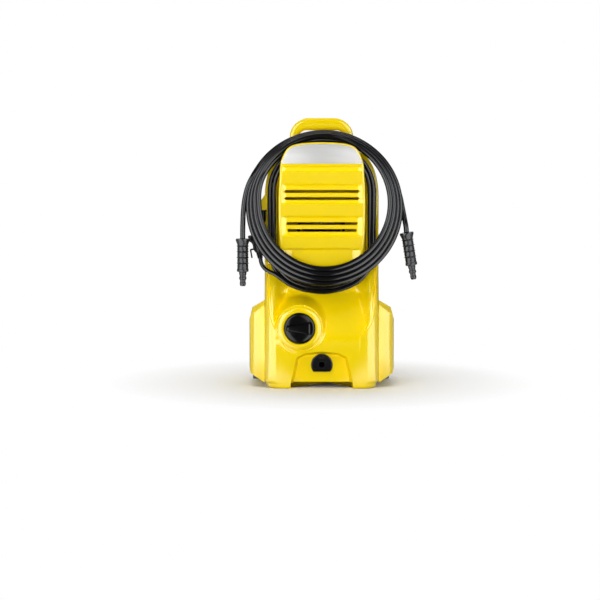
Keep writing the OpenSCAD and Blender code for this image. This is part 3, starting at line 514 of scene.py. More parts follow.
LEAD_ROUTE = [(*GLAND, 320), (-114, -65.6, 311), (-114, -64, 301), (-114, -63.6, 290),
              (-111, -63.6, 278), (-104, -63.6, 257), (-93, -63.6, 238), (-79, -63.6, 222),
              (-62, -63.8, 210), (-44, -64.6, 202), (-25, -66.5, 197)]
TAIL_ROUTE = [(-60, -88, 199), (-77, -88, 210.5), (-90, -87, 219.5), (-102, -85, 225), (-111, -83, 231.5),
              (-116.5, -81.4, 240.5), PLUG_PLACE]
HOSE_LEFT_ROUTE = [LEFT_END, (-152, -102.2, 303), (-151.7, -98, 320), (-150.5, -93, 346), (-147, -89.5, 371),
                   (-141, -87, 392), (-132, -83.5, 410)]
HOSE_RIGHT_ROUTE = [(150, -79, 373), (154.8, -85, 350), (159.2, -94, 326), (161.7, -100.6, 311), RIGHT_END]


def cord_curve(name, points, diameter, replaces, sides=5):
    """Round cord along smooth points, given in millimetres."""
    data = bpy.data.curves.new(name, "CURVE")
    data.dimensions = "3D"
    spline = data.splines.new("BEZIER")
    spline.bezier_points.add(len(points) - 1)
    for knot, p in zip(spline.bezier_points, points):
        knot.co = Vector(p) * MM
        knot.handle_left_type = knot.handle_right_type = "AUTO"
    spline.resolution_u = 4
    data.bevel_depth = diameter / 2 * MM
    data.bevel_resolution = sides
    data.use_fill_caps = True
    data.materials.append(MATERIALS["black_hose"])
    obj = linked(name, data)
    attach(obj, "housing")
    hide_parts(*replaces)
    return obj


# The neck's outline: a crowned bottom, low corners, straight sides and high corners
NECK_HALF_W = neck_high.x
NECK_LOW_R = 61.0
NECK_HIGH_R = 72.0
NECK_CROWN_R = 122.0


def neck_half(grow, fine=1):
    """Right half of the neck's outline, grown, from the bottom to the top."""
    low_x = NECK_HALF_W - NECK_LOW_R
    crown_z = neck_low.z + NECK_CROWN_R
    low_z = crown_z - sqrt((NECK_CROWN_R - NECK_LOW_R) ** 2 - low_x ** 2)
    turn = degrees(asin(low_x / (NECK_CROWN_R - NECK_LOW_R))) - 90
    return (arc_points(0, crown_z, NECK_CROWN_R + grow, -90, turn, 4 * fine)
            + arc_points(low_x, low_z, NECK_LOW_R + grow, turn, 0, 8 * fine)[1:]
            + arc_points(NECK_HALF_W - NECK_HIGH_R, neck_high.z - NECK_HIGH_R, NECK_HIGH_R + grow,
                         0, 90, 10 * fine))


def neck_loop(grow, fine=3):
    return mirrored([(max(x, 0), z) for x, z in neck_half(grow, fine)])


def along_loop(loop, share):
    """Point at a share of the way round a closed outline."""
    ring = np.array([*loop, loop[0]])
    way = np.cumsum([0, *np.linalg.norm(np.diff(ring, axis=0), axis=1)])
    return between(share % 1.0 * way[-1], way, *ring.T)


WINDING_GROW = 1.3
WINDING_SAG = 1.6
TURN_STEPS = 30
SETTLE_TURNS = 2.0
FRONT_LANE = winding_low.y + CABLE_D / 2
BACK_LANE = winding_high.y - CABLE_D / 2


def cable_turns(layer, turns, start_y, end_y, first):
    """Turns round the neck, from a share of the way round, moving from lane to lane."""
    loop = neck_loop(WINDING_GROW + CABLE_D * (layer + 0.5))
    out = []
    for t in np.linspace(0, turns, int(turns * TURN_STEPS) + 1):
        x, z = along_loop(loop, first + t)
        y = start_y + (end_y - start_y) * min(1.0, t / SETTLE_TURNS)
        out.append((x, y, z - WINDING_SAG * eased((250 - z) / 50)))
    return out


mains_path = LEAD_ROUTE + cable_turns(0, 3.1, BACK_LANE, FRONT_LANE, 0.012)
plug_path = cable_turns(1, 3.08, FRONT_LANE, BACK_LANE, -0.01)[::-1] + TAIL_ROUTE
mains_cable = cord_curve("mains_cable", mains_path, CABLE_D, ["cable_lead", "cable_winding"])
plug_cable = cord_curve("plug_cable", plug_path, CABLE_D, ["cable_tail"])

# The hose: a left tail, turns that move inwards one by one, and a right tail
COIL_X, COIL_Y, COIL_Z = 5.0, -105.5, 352.5
COIL_TILT = radians(14)
COIL_OUTER = 151 - HOSE_D / 2
COIL_INNER = 120 + HOSE_D / 2
COIL_RISE = 5.0
COIL_SAG = 3.0
COIL_STEP = 9
JOIN_ANGLE = 150.0
LEAVE_ANGLE = 18.0
SHIFT_ANGLE = 50.0
WHOLE_TURNS = 4
# Share of the way from the inner edge to the outer one, and depth, of each turn
LANES = [(1.0, 8.0), (0.7, 1.0), (0.38, -5.5), (0.03, -8.5), (0.03, -2.0)]
TOP_LANES = [(1.08, 12.0), (0.82, 3.5), (0.56, -5.0), (0.3, -13.5), (0.0, -3.0)]
# How the last turn passes behind the others at the top: angle, share and depth
LEAVING = [(18, 1.0, 18.5), (25, 1.0, 18.5), (38, 0.85, 20.5), (50, 0.6, 20), (60, 0.35, 16.5), (70, 0.2, 12),
           (85, 0.03, 5), (100, 0.0, -1), (120, 0.0, -3), (150, 0.0, -2.6)]


def coil_point(angle, share, depth):
    """Point of the hose coil, at an angle from the right going up, in a plane tilted forwards below."""
    radius = COIL_INNER + (COIL_OUTER - COIL_INNER) * share
    a = radians(angle)
    v = COIL_RISE * (1 - share) + radius * sin(a)
    y = COIL_Y + v * sin(COIL_TILT) + depth * cos(COIL_TILT)
    z = COIL_Z + v * cos(COIL_TILT) - depth * sin(COIL_TILT)
    return (COIL_X + radius * cos(a), y, z - COIL_SAG * max(0.0, -sin(a)) ** 2)


def hose_lane(turned):
    """Share and depth of the coil after turning so many degrees from where the left tail joins."""
    angle = (JOIN_ANGLE - turned + 180) % 360 - 180
    if turned > WHOLE_TURNS * 360 + SHIFT_ANGLE / 2:
        return between(angle, *zip(*LEAVING))
    lane = sum(eased((turned - 360 * k) / SHIFT_ANGLE + 0.5) for k in range(1, WHOLE_TURNS + 1))
    raised = eased((angle - 55) / 35) if angle < 100 else eased((188 - angle) / 50)
    low, high = (between(lane, range(len(lanes)), *zip(*lanes)) for lanes in (LANES, TOP_LANES))
    share, depth = (a * (1 - raised) + b * raised for a, b in zip(low, high))
    return share + 0.12 * max(0.0, 1 - turned / 45), depth


full_turn = WHOLE_TURNS * 360 + JOIN_ANGLE - LEAVE_ANGLE
coil_path = [coil_point(JOIN_ANGLE - turned, *hose_lane(turned))
             for turned in np.linspace(0, full_turn, int(full_turn / COIL_STEP) + 1)]
hose_path = HOSE_LEFT_ROUTE + coil_path + HOSE_RIGHT_ROUTE
hose = cord_curve("pressure_hose", hose_path, HOSE_D, ["hose_coil", "hose_tail_left", "hose_tail_right"], 6)

# ---- front shell

SCOOP_BOTTOM = 97.0
SCOOP_TOP = 182.0
SCOOP_REACH = 66.0
SCOOP_SOFT = 24.0
FLAT_HALF, FLAT_TAPER, FLAT_LOW = 87.0, 0.286, 116.0
LEAN_Z = 110.0
TOE_R = 5.0
BEZEL_R = 45.5
BEZEL_FACE = FRONT_REACH + 5
POCKET_R = KNOB_R + 1
POCKET_FLOOR = 98.0
HOLE_BACK = 60.0
GROOVE_W = 5.6
GROOVE_DEPTH = 3.0
GROOVE_LOW = 103.0
GROOVE_TOP = 231.0
GROOVE_X = 103.4
GROOVE_LEAN = 0.0355
GROOVE_CURL, GROOVE_DROP = 20.0, 126.0
FOOT_INSET = 5.0
HEEL_REACH = 88.2
LEG_GAP = 59.5
CREASE = 0.16
ARCH_FLOOR = 98.0


def outer_reach(z):
    """How far the front stands from the middle plane at the corners."""
    lean = max(0.0, (z - LEAN_Z) / (FRONT_TOP - LEAN_Z)) ** 2
    toe = TOE_R - sqrt(TOE_R ** 2 - (TOE_R - min(z, TOE_R)) ** 2)
    return FRONT_REACH - (FRONT_REACH - SLOT_REACH) * lean - toe


def scoop_reach(z):
    """How far the scoop's floor stands from the middle plane."""
    t = (z - SCOOP_BOTTOM) / (SCOOP_TOP - SCOOP_BOTTOM)
    if z > SCOOP_TOP:
        return SCOOP_REACH - (SCOOP_REACH - SLOT_REACH) * (z - SCOOP_TOP) / (FRONT_TOP - SCOOP_TOP)
    dip = (FRONT_REACH - SCOOP_REACH) * t
    dip = (dip + sqrt(dip * dip + SCOOP_SOFT)) / 2 if t > -0.6 else 0.0
    return min(outer_reach(z), FRONT_REACH - dip + 0.3)


def groove_x(z):
    """Inner edge of the long groove beside the scoop."""
    down = max(0.0, GROOVE_TOP - max(z, GROOVE_LOW))
    return GROOVE_X - GROOVE_W / 2 - GROOVE_LEAN * down - GROOVE_CURL * (down / GROOVE_DROP) ** 6


def floor_edge(z):
    """Half width of the scoop's flat floor."""
    return min(groove_x(z) - 1.0, FLAT_HALF - FLAT_TAPER * (z - FLAT_LOW))


def soft_max(a, b, k):
    """The larger of two values, blended where they are nearly equal."""
    h = max(0.0, min(1.0, 0.5 + 0.5 * (a - b) / k))
    return b * (1 - h) + a * h + k * h * (1 - h)


def half_width(z):
    """Half width of the front shell, narrower at the foot."""
    return HALF_W - FOOT_INSET * min(1.0, max(0.0, 14 - z) / 5) - max(0.0, 6 - z) ** 2 / 8


def front_reach_at(x, z, inset):
    """Reach of the front at a point, with scoop, groove and the bezel's foot."""
    ax = abs(x)
    outer = outer_reach(z) - inset
    width = half_width(z) - inset
    corner = CORNER_R - inset
    depth = max(0.5, min(corner, outer - SLOT_REACH))
    over = min(1.0, max(0.0, ax - (width - corner)) / corner)
    outer -= depth * (1 - sqrt(1 - over ** 2) + CREASE * over * (1 - over) ** 2)
    reach = outer
    edge, groove = floor_edge(z), groove_x(z)
    if z > SCOOP_BOTTOM - 50 and ax < groove:
        floor = min(outer, scoop_reach(z) - inset)
        t = max(0.0, (ax - edge) / max(0.5, groove - edge))
        reach = floor + (outer - floor) * (0.35 * t + 0.65 * eased(t))
    if groove <= ax <= groove + GROOVE_W and z > GROOVE_LOW:
        t = (ax - groove) / GROOVE_W
        side = min(1.0, t / 0.16, (1 - t) / 0.16)
        reach -= GROOVE_DEPTH * side * eased((z - GROOVE_LOW) / 9) * eased((FRONT_TOP - z) / 10)
    away = hypot(x - KNOB_X, z - KNOB_Z)
    skirt = BEZEL_FACE - 4.5 - inset - 3.0 * max(0.0, away - BEZEL_R)
    if away < BEZEL_R + 25:
        reach = soft_max(reach, min(skirt, FRONT_REACH - inset), 7.0 if away > BEZEL_R - 3 else 0.1)
    return reach


def front_columns(z, inset):
    """X of each column of the front's grid, from the middle to the side, and then the side wall."""
    width = half_width(z) - inset
    corner = CORNER_R - inset
    edge, groove = floor_edge(z), groove_x(z)
    xs = [0.0]
    for mark, steps in ((edge, 34), (groove, 8), (groove + 0.9, 1), (groove + GROOVE_W - 0.9, 2),
                        (groove + GROOVE_W, 1)):
        xs += [xs[-1] + (mark - xs[-1]) * k / steps for k in range(1, steps + 1)]
    xs = [min(x, width - 1.6) for x in xs]
    first = max(xs[-1] + 0.6, width - corner)
    start = asin(min(0.999, (first - (width - corner)) / corner))
    round_corner = [width - corner + corner * sin(start + (pi / 2 - start) * k / 12) for k in range(13)]
    return xs + [first - 0.4] + round_corner


def front_ring(z, inset):
    """Closed outline at one height: across the front from right to left, and straight across the back."""
    xs = front_columns(z, inset)
    across = xs[::-1] + [-x for x in xs[1:]]
    front = [(x, -front_reach_at(x, z, inset), z) for x in across]
    return [(xs[-1], -SLOT_REACH, z), *front, (-xs[-1], -SLOT_REACH, z)]


def front_solid(name, bottom, top, inset):
    heights = [bottom]
    while heights[-1] < top - 0.5:
        heights.append(min(top, heights[-1] + (1.0 if heights[-1] < 16 else 2.2)))
    return loft(name, [front_ring(z, inset) for z in heights])


def bezel_profile(inset):
    """Outline of the ring round the knob, as (radius, distance towards the front)."""
    face = BEZEL_FACE - inset
    outer = BEZEL_R - inset
    return [(outer + 0.4, SLOT_REACH + 4)] + [(outer + out, face - back) for out, back in (
        (0.2, 11), (-0.6, 7.5), (-2.4, 4.2), (-5.2, 1.8), (-8.6, 0.5), (-11.2, 0), (-13.2, 0.4))]


knob_place = facing_front(KNOB_X, KNOB_Z)
port_place = facing_front(0, PORT_Z)
front = front_solid("front_housing", 0.6, FRONT_TOP, 0)
front = joined(front, lathe("bezel", bezel_profile(0) + [(0, BEZEL_FACE - 0.4)], 96, knob_place))
hollow = front_solid("hollow", SHELL_BOTTOM + 3, FRONT_TOP - 6, WALL)
hollow_bezel = lathe("hollow_bezel", bezel_profile(WALL) + [(0, BEZEL_FACE - WALL - 0.4)], 48, knob_place)
arch = mirrored(rounded([(63.8, -8, 0), (49.2, 61.0, 9), (33.0, 69.4, 20), (0, 72.6, 0)], 8))
arch_wall = stack("arch_wall", arch, [(-FRONT_REACH - 9, WALL), (-ARCH_FLOOR + WALL, WALL)])
pocket_wall = lathe("pocket_wall", [(POCKET_R + 2.5, SLOT_REACH + 20), (POCKET_R + 2.5, BEZEL_FACE + 4)], 64,
                    knob_place)
front = cut(front, cut(joined(hollow, hollow_bezel), arch_wall, pocket_wall))
flare = [(back - FRONT_REACH, growth) for back, growth in
         ((-6, 4.0), (-1.2, 1.0), (0.3, -0.2), (2.2, -1.2), (6, -2.8), (10.5, -4.4))]
arch_cut = stack("arch_cut", arch, flare + [(-ARCH_FLOOR, -5.8)])
under_cut = box_solid("under_cut", (-LEG_GAP, -FRONT_REACH - 8, -5), (LEG_GAP, -SLOT_REACH + 2, 12.3))
heel_cut = box_solid("heel_cut", (-HALF_W - 2, -HEEL_REACH, -5), (HALF_W + 2, -SLOT_REACH + 2, SHELL_BOTTOM))
pocket_profile = [(POCKET_R + out, BEZEL_FACE + up) for out, up in
                  ((0, -2.2), (0.5, -1), (1.6, -0.2), (3.4, 2), (-POCKET_R, 2))]
pocket = lathe("pocket", [(0, POCKET_FLOOR), (POCKET_R, POCKET_FLOOR), *pocket_profile], 96, knob_place)
front = cut(front, arch_cut, under_cut, heel_cut, pocket,
            rod("shaft_hole", 6, HOLE_BACK, POCKET_FLOOR + 1, 32, knob_place),
            rod("port_hole", 14, HOLE_BACK, ARCH_FLOOR + 1, 32, port_place))
piece(front, "yellow_shell", "front_shell", angle=28)

# ---- rear shell

SHOULDER_Z = 365.0
TOP_FLAT = 64.0
SQUARENESS = 2 / 2.1
BACK_R = 18.0
WELL_R = 7.0
SCREW_X = HALF_W - WALL - WELL_R + 1
BOSS_LOW, BOSS_HIGH = -123.5, -104.7
GLAND_TOP = 343.0
VENT_LOW = 200.0
VENT_PITCH = 12.0
VENT_COUNT = 8
VENT_HALF = 52.0
VENT_H = 5
FRONT_ROUND = 1.6


def quarter(steps):
    """Angles from 0 to 90 degrees."""
    return [radians(90 * k / steps) for k in range(steps + 1)]


def shoulder_outline(inset, bottom):
    """The housing seen from the front: straight sides, shoulders and a flat top."""
    side = [(HALF_W - inset, z) for z in (bottom, 120.0, 250.0)]
    shoulder = [(TOP_FLAT + (HALF_W - TOP_FLAT - inset) * cos(a) ** SQUARENESS,
                 SHOULDER_Z + (HOUSING_TOP - SHOULDER_Z - inset) * sin(a) ** SQUARENESS)
                for a in quarter(24)]
    return mirrored(side + shoulder + [(0, HOUSING_TOP - inset)])


def rear_solid(name, inset, bottom, front_y, front_round):
    """Solid of the rear shell, with a rounded back edge and a front edge that may be rounded too."""
    levels = [(front_y + front_round * (1 - cos(a)), inset + front_round * (1 - sin(a)))
              for a in (quarter(4) if front_round else [0])]
    levels += [(y, inset) for y in (-20, 30, 70)]
    radius = BACK_R - inset * 0.6
    levels += [(REAR_REACH - inset - radius + radius * sin(a), inset + radius * (1 - cos(a)))
               for a in quarter(8)]
    return loft(name, [[(x, y, max(z, bottom)) for x, z in shoulder_outline(g, bottom)] for y, g in levels])


def slot_outline(half_w, z, height):
    """Long slot with round ends."""
    r = height / 2
    return arc_points(half_w - r, z, r, -90, 90, 8) + arc_points(r - half_w, z, r, 90, 270, 8)


SCREW_PLACES = [facing_back(x, z) for x in (-SCREW_X, SCREW_X) for z in (34.0, 160.0)]
rear = rear_solid("rear_housing", 0, SHELL_BOTTOM, -SLOT_REACH, FRONT_ROUND)
rear_hollow = rear_solid("rear_hollow", WALL, SHELL_BOTTOM - 1, -SLOT_REACH + WALL, 0)
wells = [lathe("well", [(WELL_R, SLOT_REACH - 120), (WELL_R, REAR_REACH + 60)], 32, p) for p in SCREW_PLACES]
rear = cut(rear, cut(rear_hollow, *wells))
boss_outline = rounded([(BOSS_LOW, GLAND_TOP, 2), (BOSS_HIGH, GLAND_TOP, 1), (BOSS_HIGH, 372, 0),
                        (-HALF_W, 372, 3), (BOSS_LOW, 352, 4)], 4)
boss = stack("cable_boss", boss_outline, [(-76.2, -1.2), (-75.6, -0.4), (-74.6, 0), (-SLOT_REACH + 3, 0)])
rear = joined(rear, boss)
in_wall = (-SLOT_REACH - 1, -SLOT_REACH + WALL + 1)
cuts = [stack("neck_cut", neck_loop(-WALL, 2), [(y, 0) for y in in_wall]),
        box_solid("front_cut", (-HALF_W + WALL + 12, in_wall[0], SHELL_BOTTOM - 1),
                  (HALF_W - WALL - 12, in_wall[1], SCOOP_TOP - 8)),
        box_solid("plate_cut", (-HALF_W + WALL, in_wall[0], SHELL_BOTTOM - 1),
                  (HALF_W - WALL, in_wall[1], SHELL_BOTTOM + 3.5)),
        rod("gland_cut", 5.6, GLAND_TOP - 1, GLAND_TOP + 7, 32, Matrix.Translation((*GLAND, 0)))]
vent_levels = [(REAR_REACH + back, growth) for back, growth in
               ((-WALL - 1, 0), (-0.9, 0), (-0.3, 0.3), (0.6, 1.4))]
cuts += [stack("vent", slot_outline(VENT_HALF, VENT_LOW + VENT_PITCH * k, VENT_H), vent_levels)
         for k in range(VENT_COUNT)]
screw_seat = [(0, -46), (4.6, -46), (4.6, REAR_REACH - 1), (6.2, REAR_REACH + 1), (0, REAR_REACH + 1)]
cuts += [lathe("head_cut", screw_seat, 32, place) for place in SCREW_PLACES]
inlet_place = facing_back(0, PORT_Z)
cuts.append(lathe("inlet_cut", [(0, 98), (15.4, 98), (15.4, REAR_REACH - 3.2), (21.6, REAR_REACH - 2.4),
                                (22.6, REAR_REACH + 1), (0, REAR_REACH + 1)], 64, inlet_place))
rear = cut(rear, *cuts)
piece(rear, "yellow_shell", "rear_shell", angle=28)

# ---- side covers

POD_WALL = 2.5
POD_GAP = 0.2
POD_FRONT, POD_BACK = pod_low.y, pod_high.y
POD_REACH, POD_TOP = pod_high.x, pod_high.z
# Where each facet starts, with its two slopes in degrees: the top and the front bevel
POD_FACETS = [((HALF_W, POD_FRONT + 14.75, POD_TOP), 30, -4.5),
              ((HALF_W, POD_FRONT, POD_TOP - 7.5), 43.6, 24.6)]


def sloped_cutter(corner, turn, lean, inset):
    """Block above a plane through a corner, sloping outwards by one angle and back by another."""
    block = box_solid("cutter", (-200, -200, -inset), (200, 200, 200 - inset))
    return moved(block, Matrix.Translation(corner) @ spun(turn, "Y") @ spun(lean, "X"))


def side_cover(name, sign, node):
    """Hollow cover with slanted facets; its front face turns outwards and its top falls backwards."""
    inner, outer, top = HALF_W + POD_GAP, POD_REACH, POD_TOP
    side_view = rounded([(inner, pod_low.z + 0.4, 0), (outer - 2.2, pod_low.z + 17.6, 3), (outer, 37, 30),
                         (outer, top - 38, 12), (outer - 5.6, top - 14.6, 10), (inner, top, 0)], 4)
    plan = [(inner, POD_FRONT), (inner + 9, POD_FRONT + 1.4), (inner + 18, POD_FRONT + 4.2),
            (outer - 5, POD_FRONT + 8.6), (outer - 1.5, POD_FRONT + 12.6), (outer, POD_FRONT + 18),
            (outer, POD_BACK - 15), (outer - 3.2, POD_BACK - 8), (outer - 9.5, POD_BACK - 2.5),
            (outer - 17, POD_BACK), (inner, POD_BACK)]
    parts = []
    for inset in (0, POD_WALL):
        along = stack(name, side_view, [(POD_FRONT - 5, -inset), (POD_BACK + 5, -inset)])
        across = loft("plan", [[(x, y, z) for x, y in grown(plan, -inset)]
                               for z in (pod_low.z - 5, top + 5)])
        body = combined(along, [across], "INTERSECT")
        parts.append(cut(body, *[sloped_cutter(*facet, inset + POD_GAP) for facet in POD_FACETS]))
    cover = cut(bevelled(parts[0], 1.8, 24), parts[1])
    if sign < 0:
        outward(moved(cover, Matrix.Scale(-1, 4, (1, 0, 0))))
    return piece(cover, "yellow_shell", node, angle=28)


side_cover("side_cover_right", 1, "right_side_cover")
side_cover("side_cover_left", -1, "left_side_cover")

# ---- neck, grille panel and label

PANEL_FRONT = -panel_low.y
PANEL_BACK = -panel_high.y
PANEL_TOP = panel_high.z
PANEL_SIDE_X = 83.5
PANEL_SIDE_Z = 345.0

neck_levels = [(-SLOT_REACH, 0), (-PANEL_BACK + 2.2, -4.2), (-PANEL_BACK + 0.6, -4.8), (-PANEL_BACK, -6.0)]
neck = through("neck_housing", neck_loop, neck_levels)
neck_void = through("neck_void", neck_loop, [(-SLOT_REACH + 1, -WALL), (-PANEL_BACK - 1, -WALL - 5.5)])
piece(cut(neck, neck_void), "yellow_shell", "cable_neck")


def panel_outline(inset):
    """Half outline: crowned lower end, bulged sides, crowned top with rounder corners."""
    half = [(max(0, x), z) for x, z in neck_half(-7.0 - inset, 2) if z < 262]
    half += [(PANEL_SIDE_X - 1.5 * ((z - PANEL_SIDE_Z) / 55) ** 2 - inset, z)
             for z in np.linspace(270, 424, 17)]
    top = [(80.4, 426), (79.4, 434), (77.2, 442), (73.4, 451.5), (67.4, 461), (62.2, 465.6), (55.8, 468.7),
           (47, 471.2), (36.6, 472.7), (19, 474.0), (0, PANEL_TOP)]
    half += [(max(0, x), z) for x, z in grown(mirrored(top), -inset)[:len(top)]]
    half[-1] = (0, PANEL_TOP - inset)
    return half


# Recessed bands of the panel: lowest and highest point, depth, height of the upper and of the lower slope
BANDS = [(417.6, 428.7, 2.8, 2.6, 2.2), (356.2, 395.2, 4.5, 4.3, 3.4), (293.9, 333.8, 4.5, 4.3, 3.6)]
BAND_HALF = 77.0
CHIN_Z, CHIN_DEPTH, CHIN_SLOPE = 271.8, 4.4, 3.9
SLOTS = [(380.2, 0.0), (366.6, 0.0), (318.6, 3.5), (305.4, 5.5)]
SLOT_H = 5.5
SLOT_HALF = 71.5
EDGE_ROUND = [(3.4, 0.0), (2.3, 0.25), (1.2, 0.85), (0.45, 1.8), (0.0, 3.2)]


def ramp(t):
    """Straight slope from 0 to 1 with rounded ends."""
    soft = 0.14
    if t < -soft:
        return 0.0
    if t < soft:
        return (t + soft) ** 2 / (4 * soft)
    return t if t <= 1 - soft else 1 - ramp(1 - t)


def band_depth(x, z):
    """How deep the panel's face lies behind its front plane."""
    ax = abs(x)
    depth = 0.0
    for low, high, deep, upper, lower in BANDS:
        if low - 1 < z < high + 1:
            slope = min(ramp((high - z) / upper), ramp((z - low) / lower))
            depth = deep * slope * eased((BAND_HALF - ax) / 7)
    if z < CHIN_Z + 1:
        depth = CHIN_DEPTH * ramp((CHIN_Z - z) / CHIN_SLOPE) * eased((BAND_HALF - 1 - ax) / 20)
    return depth


def panel_face(name):
    """Front face of the panel as a fine grid, closed to a solid with its sides and its back."""
    widths, heights = zip(*panel_outline(0))
    marks = [low for low, *_ in BANDS] + [high for _, high, *_ in BANDS] + [CHIN_Z]
    zs = [heights[0] + 0.15]
    while zs[-1] < PANEL_TOP - 1.2:
        near = min(abs(zs[-1] + 0.6 - m) for m in marks) < 5
        zs.append(zs[-1] + (0.6 if near else 1.5))
    zs.append(PANEL_TOP - 0.15)
    rings = []
    for z in zs:
        w = max(4.2, *between(z, heights, widths))
        inner = w - EDGE_ROUND[0][0]
        row = [(inner * k / 30, -PANEL_FRONT + band_depth(inner * k / 30, z), z) for k in range(-30, 31)]
        edge = [(w - less, -PANEL_FRONT + back, z) for less, back in EDGE_ROUND[1:]] + [(w, -PANEL_BACK, z)]
        rings.append(row + edge + [(-x, y, z) for x, y, z in reversed(edge)])
    return loft(name, rings)


slot_levels = [(back - PANEL_FRONT, growth) for back, growth in ((-4, 1.2), (4.3, 0.5), (5.3, 0))]
slot_levels.append((2 - PANEL_BACK, 0))
slots = [stack("slot", slot_outline(SLOT_HALF - less, z, SLOT_H), slot_levels) for z, less in SLOTS]
piece(cut(panel_face("grille_front"), *slots), "yellow_shell", "grille_panel", angle=35)

label_half = [(x, z) for x, z in panel_outline(2.8) if z > label_low.z + 1]
label_outline = mirrored([(0, label_low.z), (78.2, label_low.z)] + label_half[1:])
label = stack("name_plate", label_outline,
              [(label_low.y, -0.6), (label_low.y + 0.25, -0.1), (label_high.y, 0)])
piece(label, "label_sheet", "panel_label")

# ---- handle

HANDLE_Y = (handle_low.y + handle_high.y) / 2
HANDLE_DEPTH = handle_high.y - handle_low.y
BAR_T = 24.0
LEG_T = 16.0
LEG_X = handle_high.x - LEG_T / 2
BEND_R = 28.0


def handle_ring(x, z, tangent, thick):
    """Rounded section of the handle at a point of its arch, square to the arch."""
    return [(x - tangent.y * v, HANDLE_Y + u, z + tangent.x * v)
            for u, v in rectangle(HANDLE_DEPTH / 2, thick / 2, 6.5, 4)]


def handle_arch():
    """The handle from leg to leg, through sections that grow from the leg's thickness to the bar's."""
    bar_z = handle_high.z - BAR_T / 2
    path = [(LEG_X, HOUSING_TOP + up, Vector((0, 1)), 0.0) for up in (-0.6, 3, 8)]
    for k, a in list(enumerate(quarter(12)))[1:-1]:
        path.append((LEG_X - BEND_R + BEND_R * cos(a), bar_z - BEND_R + BEND_R * sin(a),
                     Vector((-sin(a), cos(a))), k / 12))
    path += [(LEG_X - BEND_R - along, bar_z, Vector((-1, 0)), 1.0) for along in (0, 9, 18)]
    path += [(-x, z, Vector((t.x, -t.y)), share) for x, z, t, share in reversed(path)]
    return loft("carrying_handle_arch", [handle_ring(x, z, t, LEG_T + (BAR_T - LEG_T) * share)
                                         for x, z, t, share in path])


piece(handle_arch(), "yellow_shell", "carrying_handle", angle=40)
foot_outline = rectangle(10.5, 15.5, 6, 5)
for name, x in (("handle_foot_right", LEG_X), ("handle_foot_left", -LEG_X)):
    rings = [[(x + u, HANDLE_Y + v, HOUSING_TOP + up) for u, v in grown(foot_outline, g)]
             for up, g in ((-0.4, 0), (1.2, 0), (2.2, -0.5), (2.8, -1.6), (3.2, -3.2))]
    piece(loft(name, rings), "yellow_shell")

# ---- knob

KNOB_FACE = 115.5
KNOB_BACK = 101.0


def knob_grip():
    """Wedge that rises from the knob: narrow and round at the pointer, wide at the other end."""
    outline = rounded([(KNOB_X + x, KNOB_Z + z, r) for x, z, r in
                       ((-24.4, -4.2, 3.6), (20.6, -11.4, 3.4), (20.6, 11.4, 3.4), (-24.4, 4.2, 3.6))])
    levels = ((-1.0, 1.6), (2.0, 0.6), (5.6, 0.0), (7.4, -0.7), (8.3, -2.0), (8.5, -3.4))
    return stack("grip", outline, [(-KNOB_FACE - up, growth) for up, growth in levels])


knob_profile = [(0, KNOB_BACK), (KNOB_R - 1, KNOB_BACK), (KNOB_R, KNOB_BACK + 1)]
knob_profile += [(KNOB_R - inset, KNOB_FACE - back) for inset, back in
                 ((0, 2.6), (0.5, 1.2), (1.7, 0.3), (3.4, 0), (5.0, 0.7), (9.0, 1.5), (KNOB_R, 2.0))]
knob = joined(lathe("knob_dial", knob_profile, 96, knob_place), knob_grip())
knob = cut(knob, rod("shaft_seat", 4.05, 95, 107.2, 32, knob_place))
piece(knob, "black_knob", "power_knob", body="knob", angle=30)

# ---- outlet port and latch

PORT_R = 21.0
PORT_FACE = 103.0
PORT_FLAT = PORT_Z - 13.5
RIB_X = 13.5


def port_outline(growth):
    """D shape with a flat bottom."""
    r = PORT_R + growth
    a = degrees(asin((PORT_FLAT - growth - PORT_Z) / r))
    return arc_points(0, PORT_Z, r, a, 180 - a, 40)


port = through("outlet_frame", port_outline, [(-ARCH_FLOOR + 0.5, 0), (-PORT_FACE + 1.4, 0),
                                              (-PORT_FACE + 0.4, -0.5), (-PORT_FACE, -1.4)])
port = cut(port, through("port_inside", port_outline, [(-PORT_FACE - 1, -3.0), (-PORT_FACE + 0.5, -3.2),
                                                       (-PORT_FACE + 2.6, -3.8)]))
bay_wall = stack("bay_wall", rectangle(7.4, 8.2, 1.5, 4, PORT_Z),
                 [(-ARCH_FLOOR + 0.5, 1.6), (-PORT_FACE + 1.2, 1.6), (-PORT_FACE + 0.7, 1.2)])
ribs = [box_solid("rib", (x - 1, -PORT_FACE + 0.8, PORT_FLAT + 2), (x + 1, -ARCH_FLOOR + 1, PORT_Z + 14))
        for x in (-RIB_X, RIB_X)]
port = joined(port, bay_wall, *ribs, rod("barrel", 12.9, 74, ARCH_FLOOR, 48, port_place))
mouth = stack("mouth", rectangle(5.6, 6.4, 1.2, 4, PORT_Z),
              [(-PORT_FACE - 1, 0.8), (-PORT_FACE + 0.6, 0), (-PORT_FACE + 4.0, 0)])
latch_slot = box_solid("latch_slot", (-7.2, -PORT_FACE - 1, 54.2), (7.2, -ARCH_FLOOR - 0.3, 62.0))
socket_bore = rod("socket_bore", 8.2, 70, ARCH_FLOOR + 1.2, 48, port_place)
port = cut(port, latch_slot, mouth, socket_bore, rod("bore", 5.5, 70, PORT_FACE + 1, 48, port_place))
piece(port, "black_plastic", "outlet_port")

latch_outline = rounded([(-6.6, latch_low.z, 0.6), (6.6, latch_low.z, 0.6), (5.0, latch_high.z, 0.8),
                         (-5.0, latch_high.z, 0.8)], 3)
latch = stack("release_tab", latch_outline, [(latch_high.y, 0), (latch_low.y + 0.8, 0), (latch_low.y, -0.7)])
piece(latch, "grey_plastic", "outlet_latch", body="latch")

# ---- feet and inlet

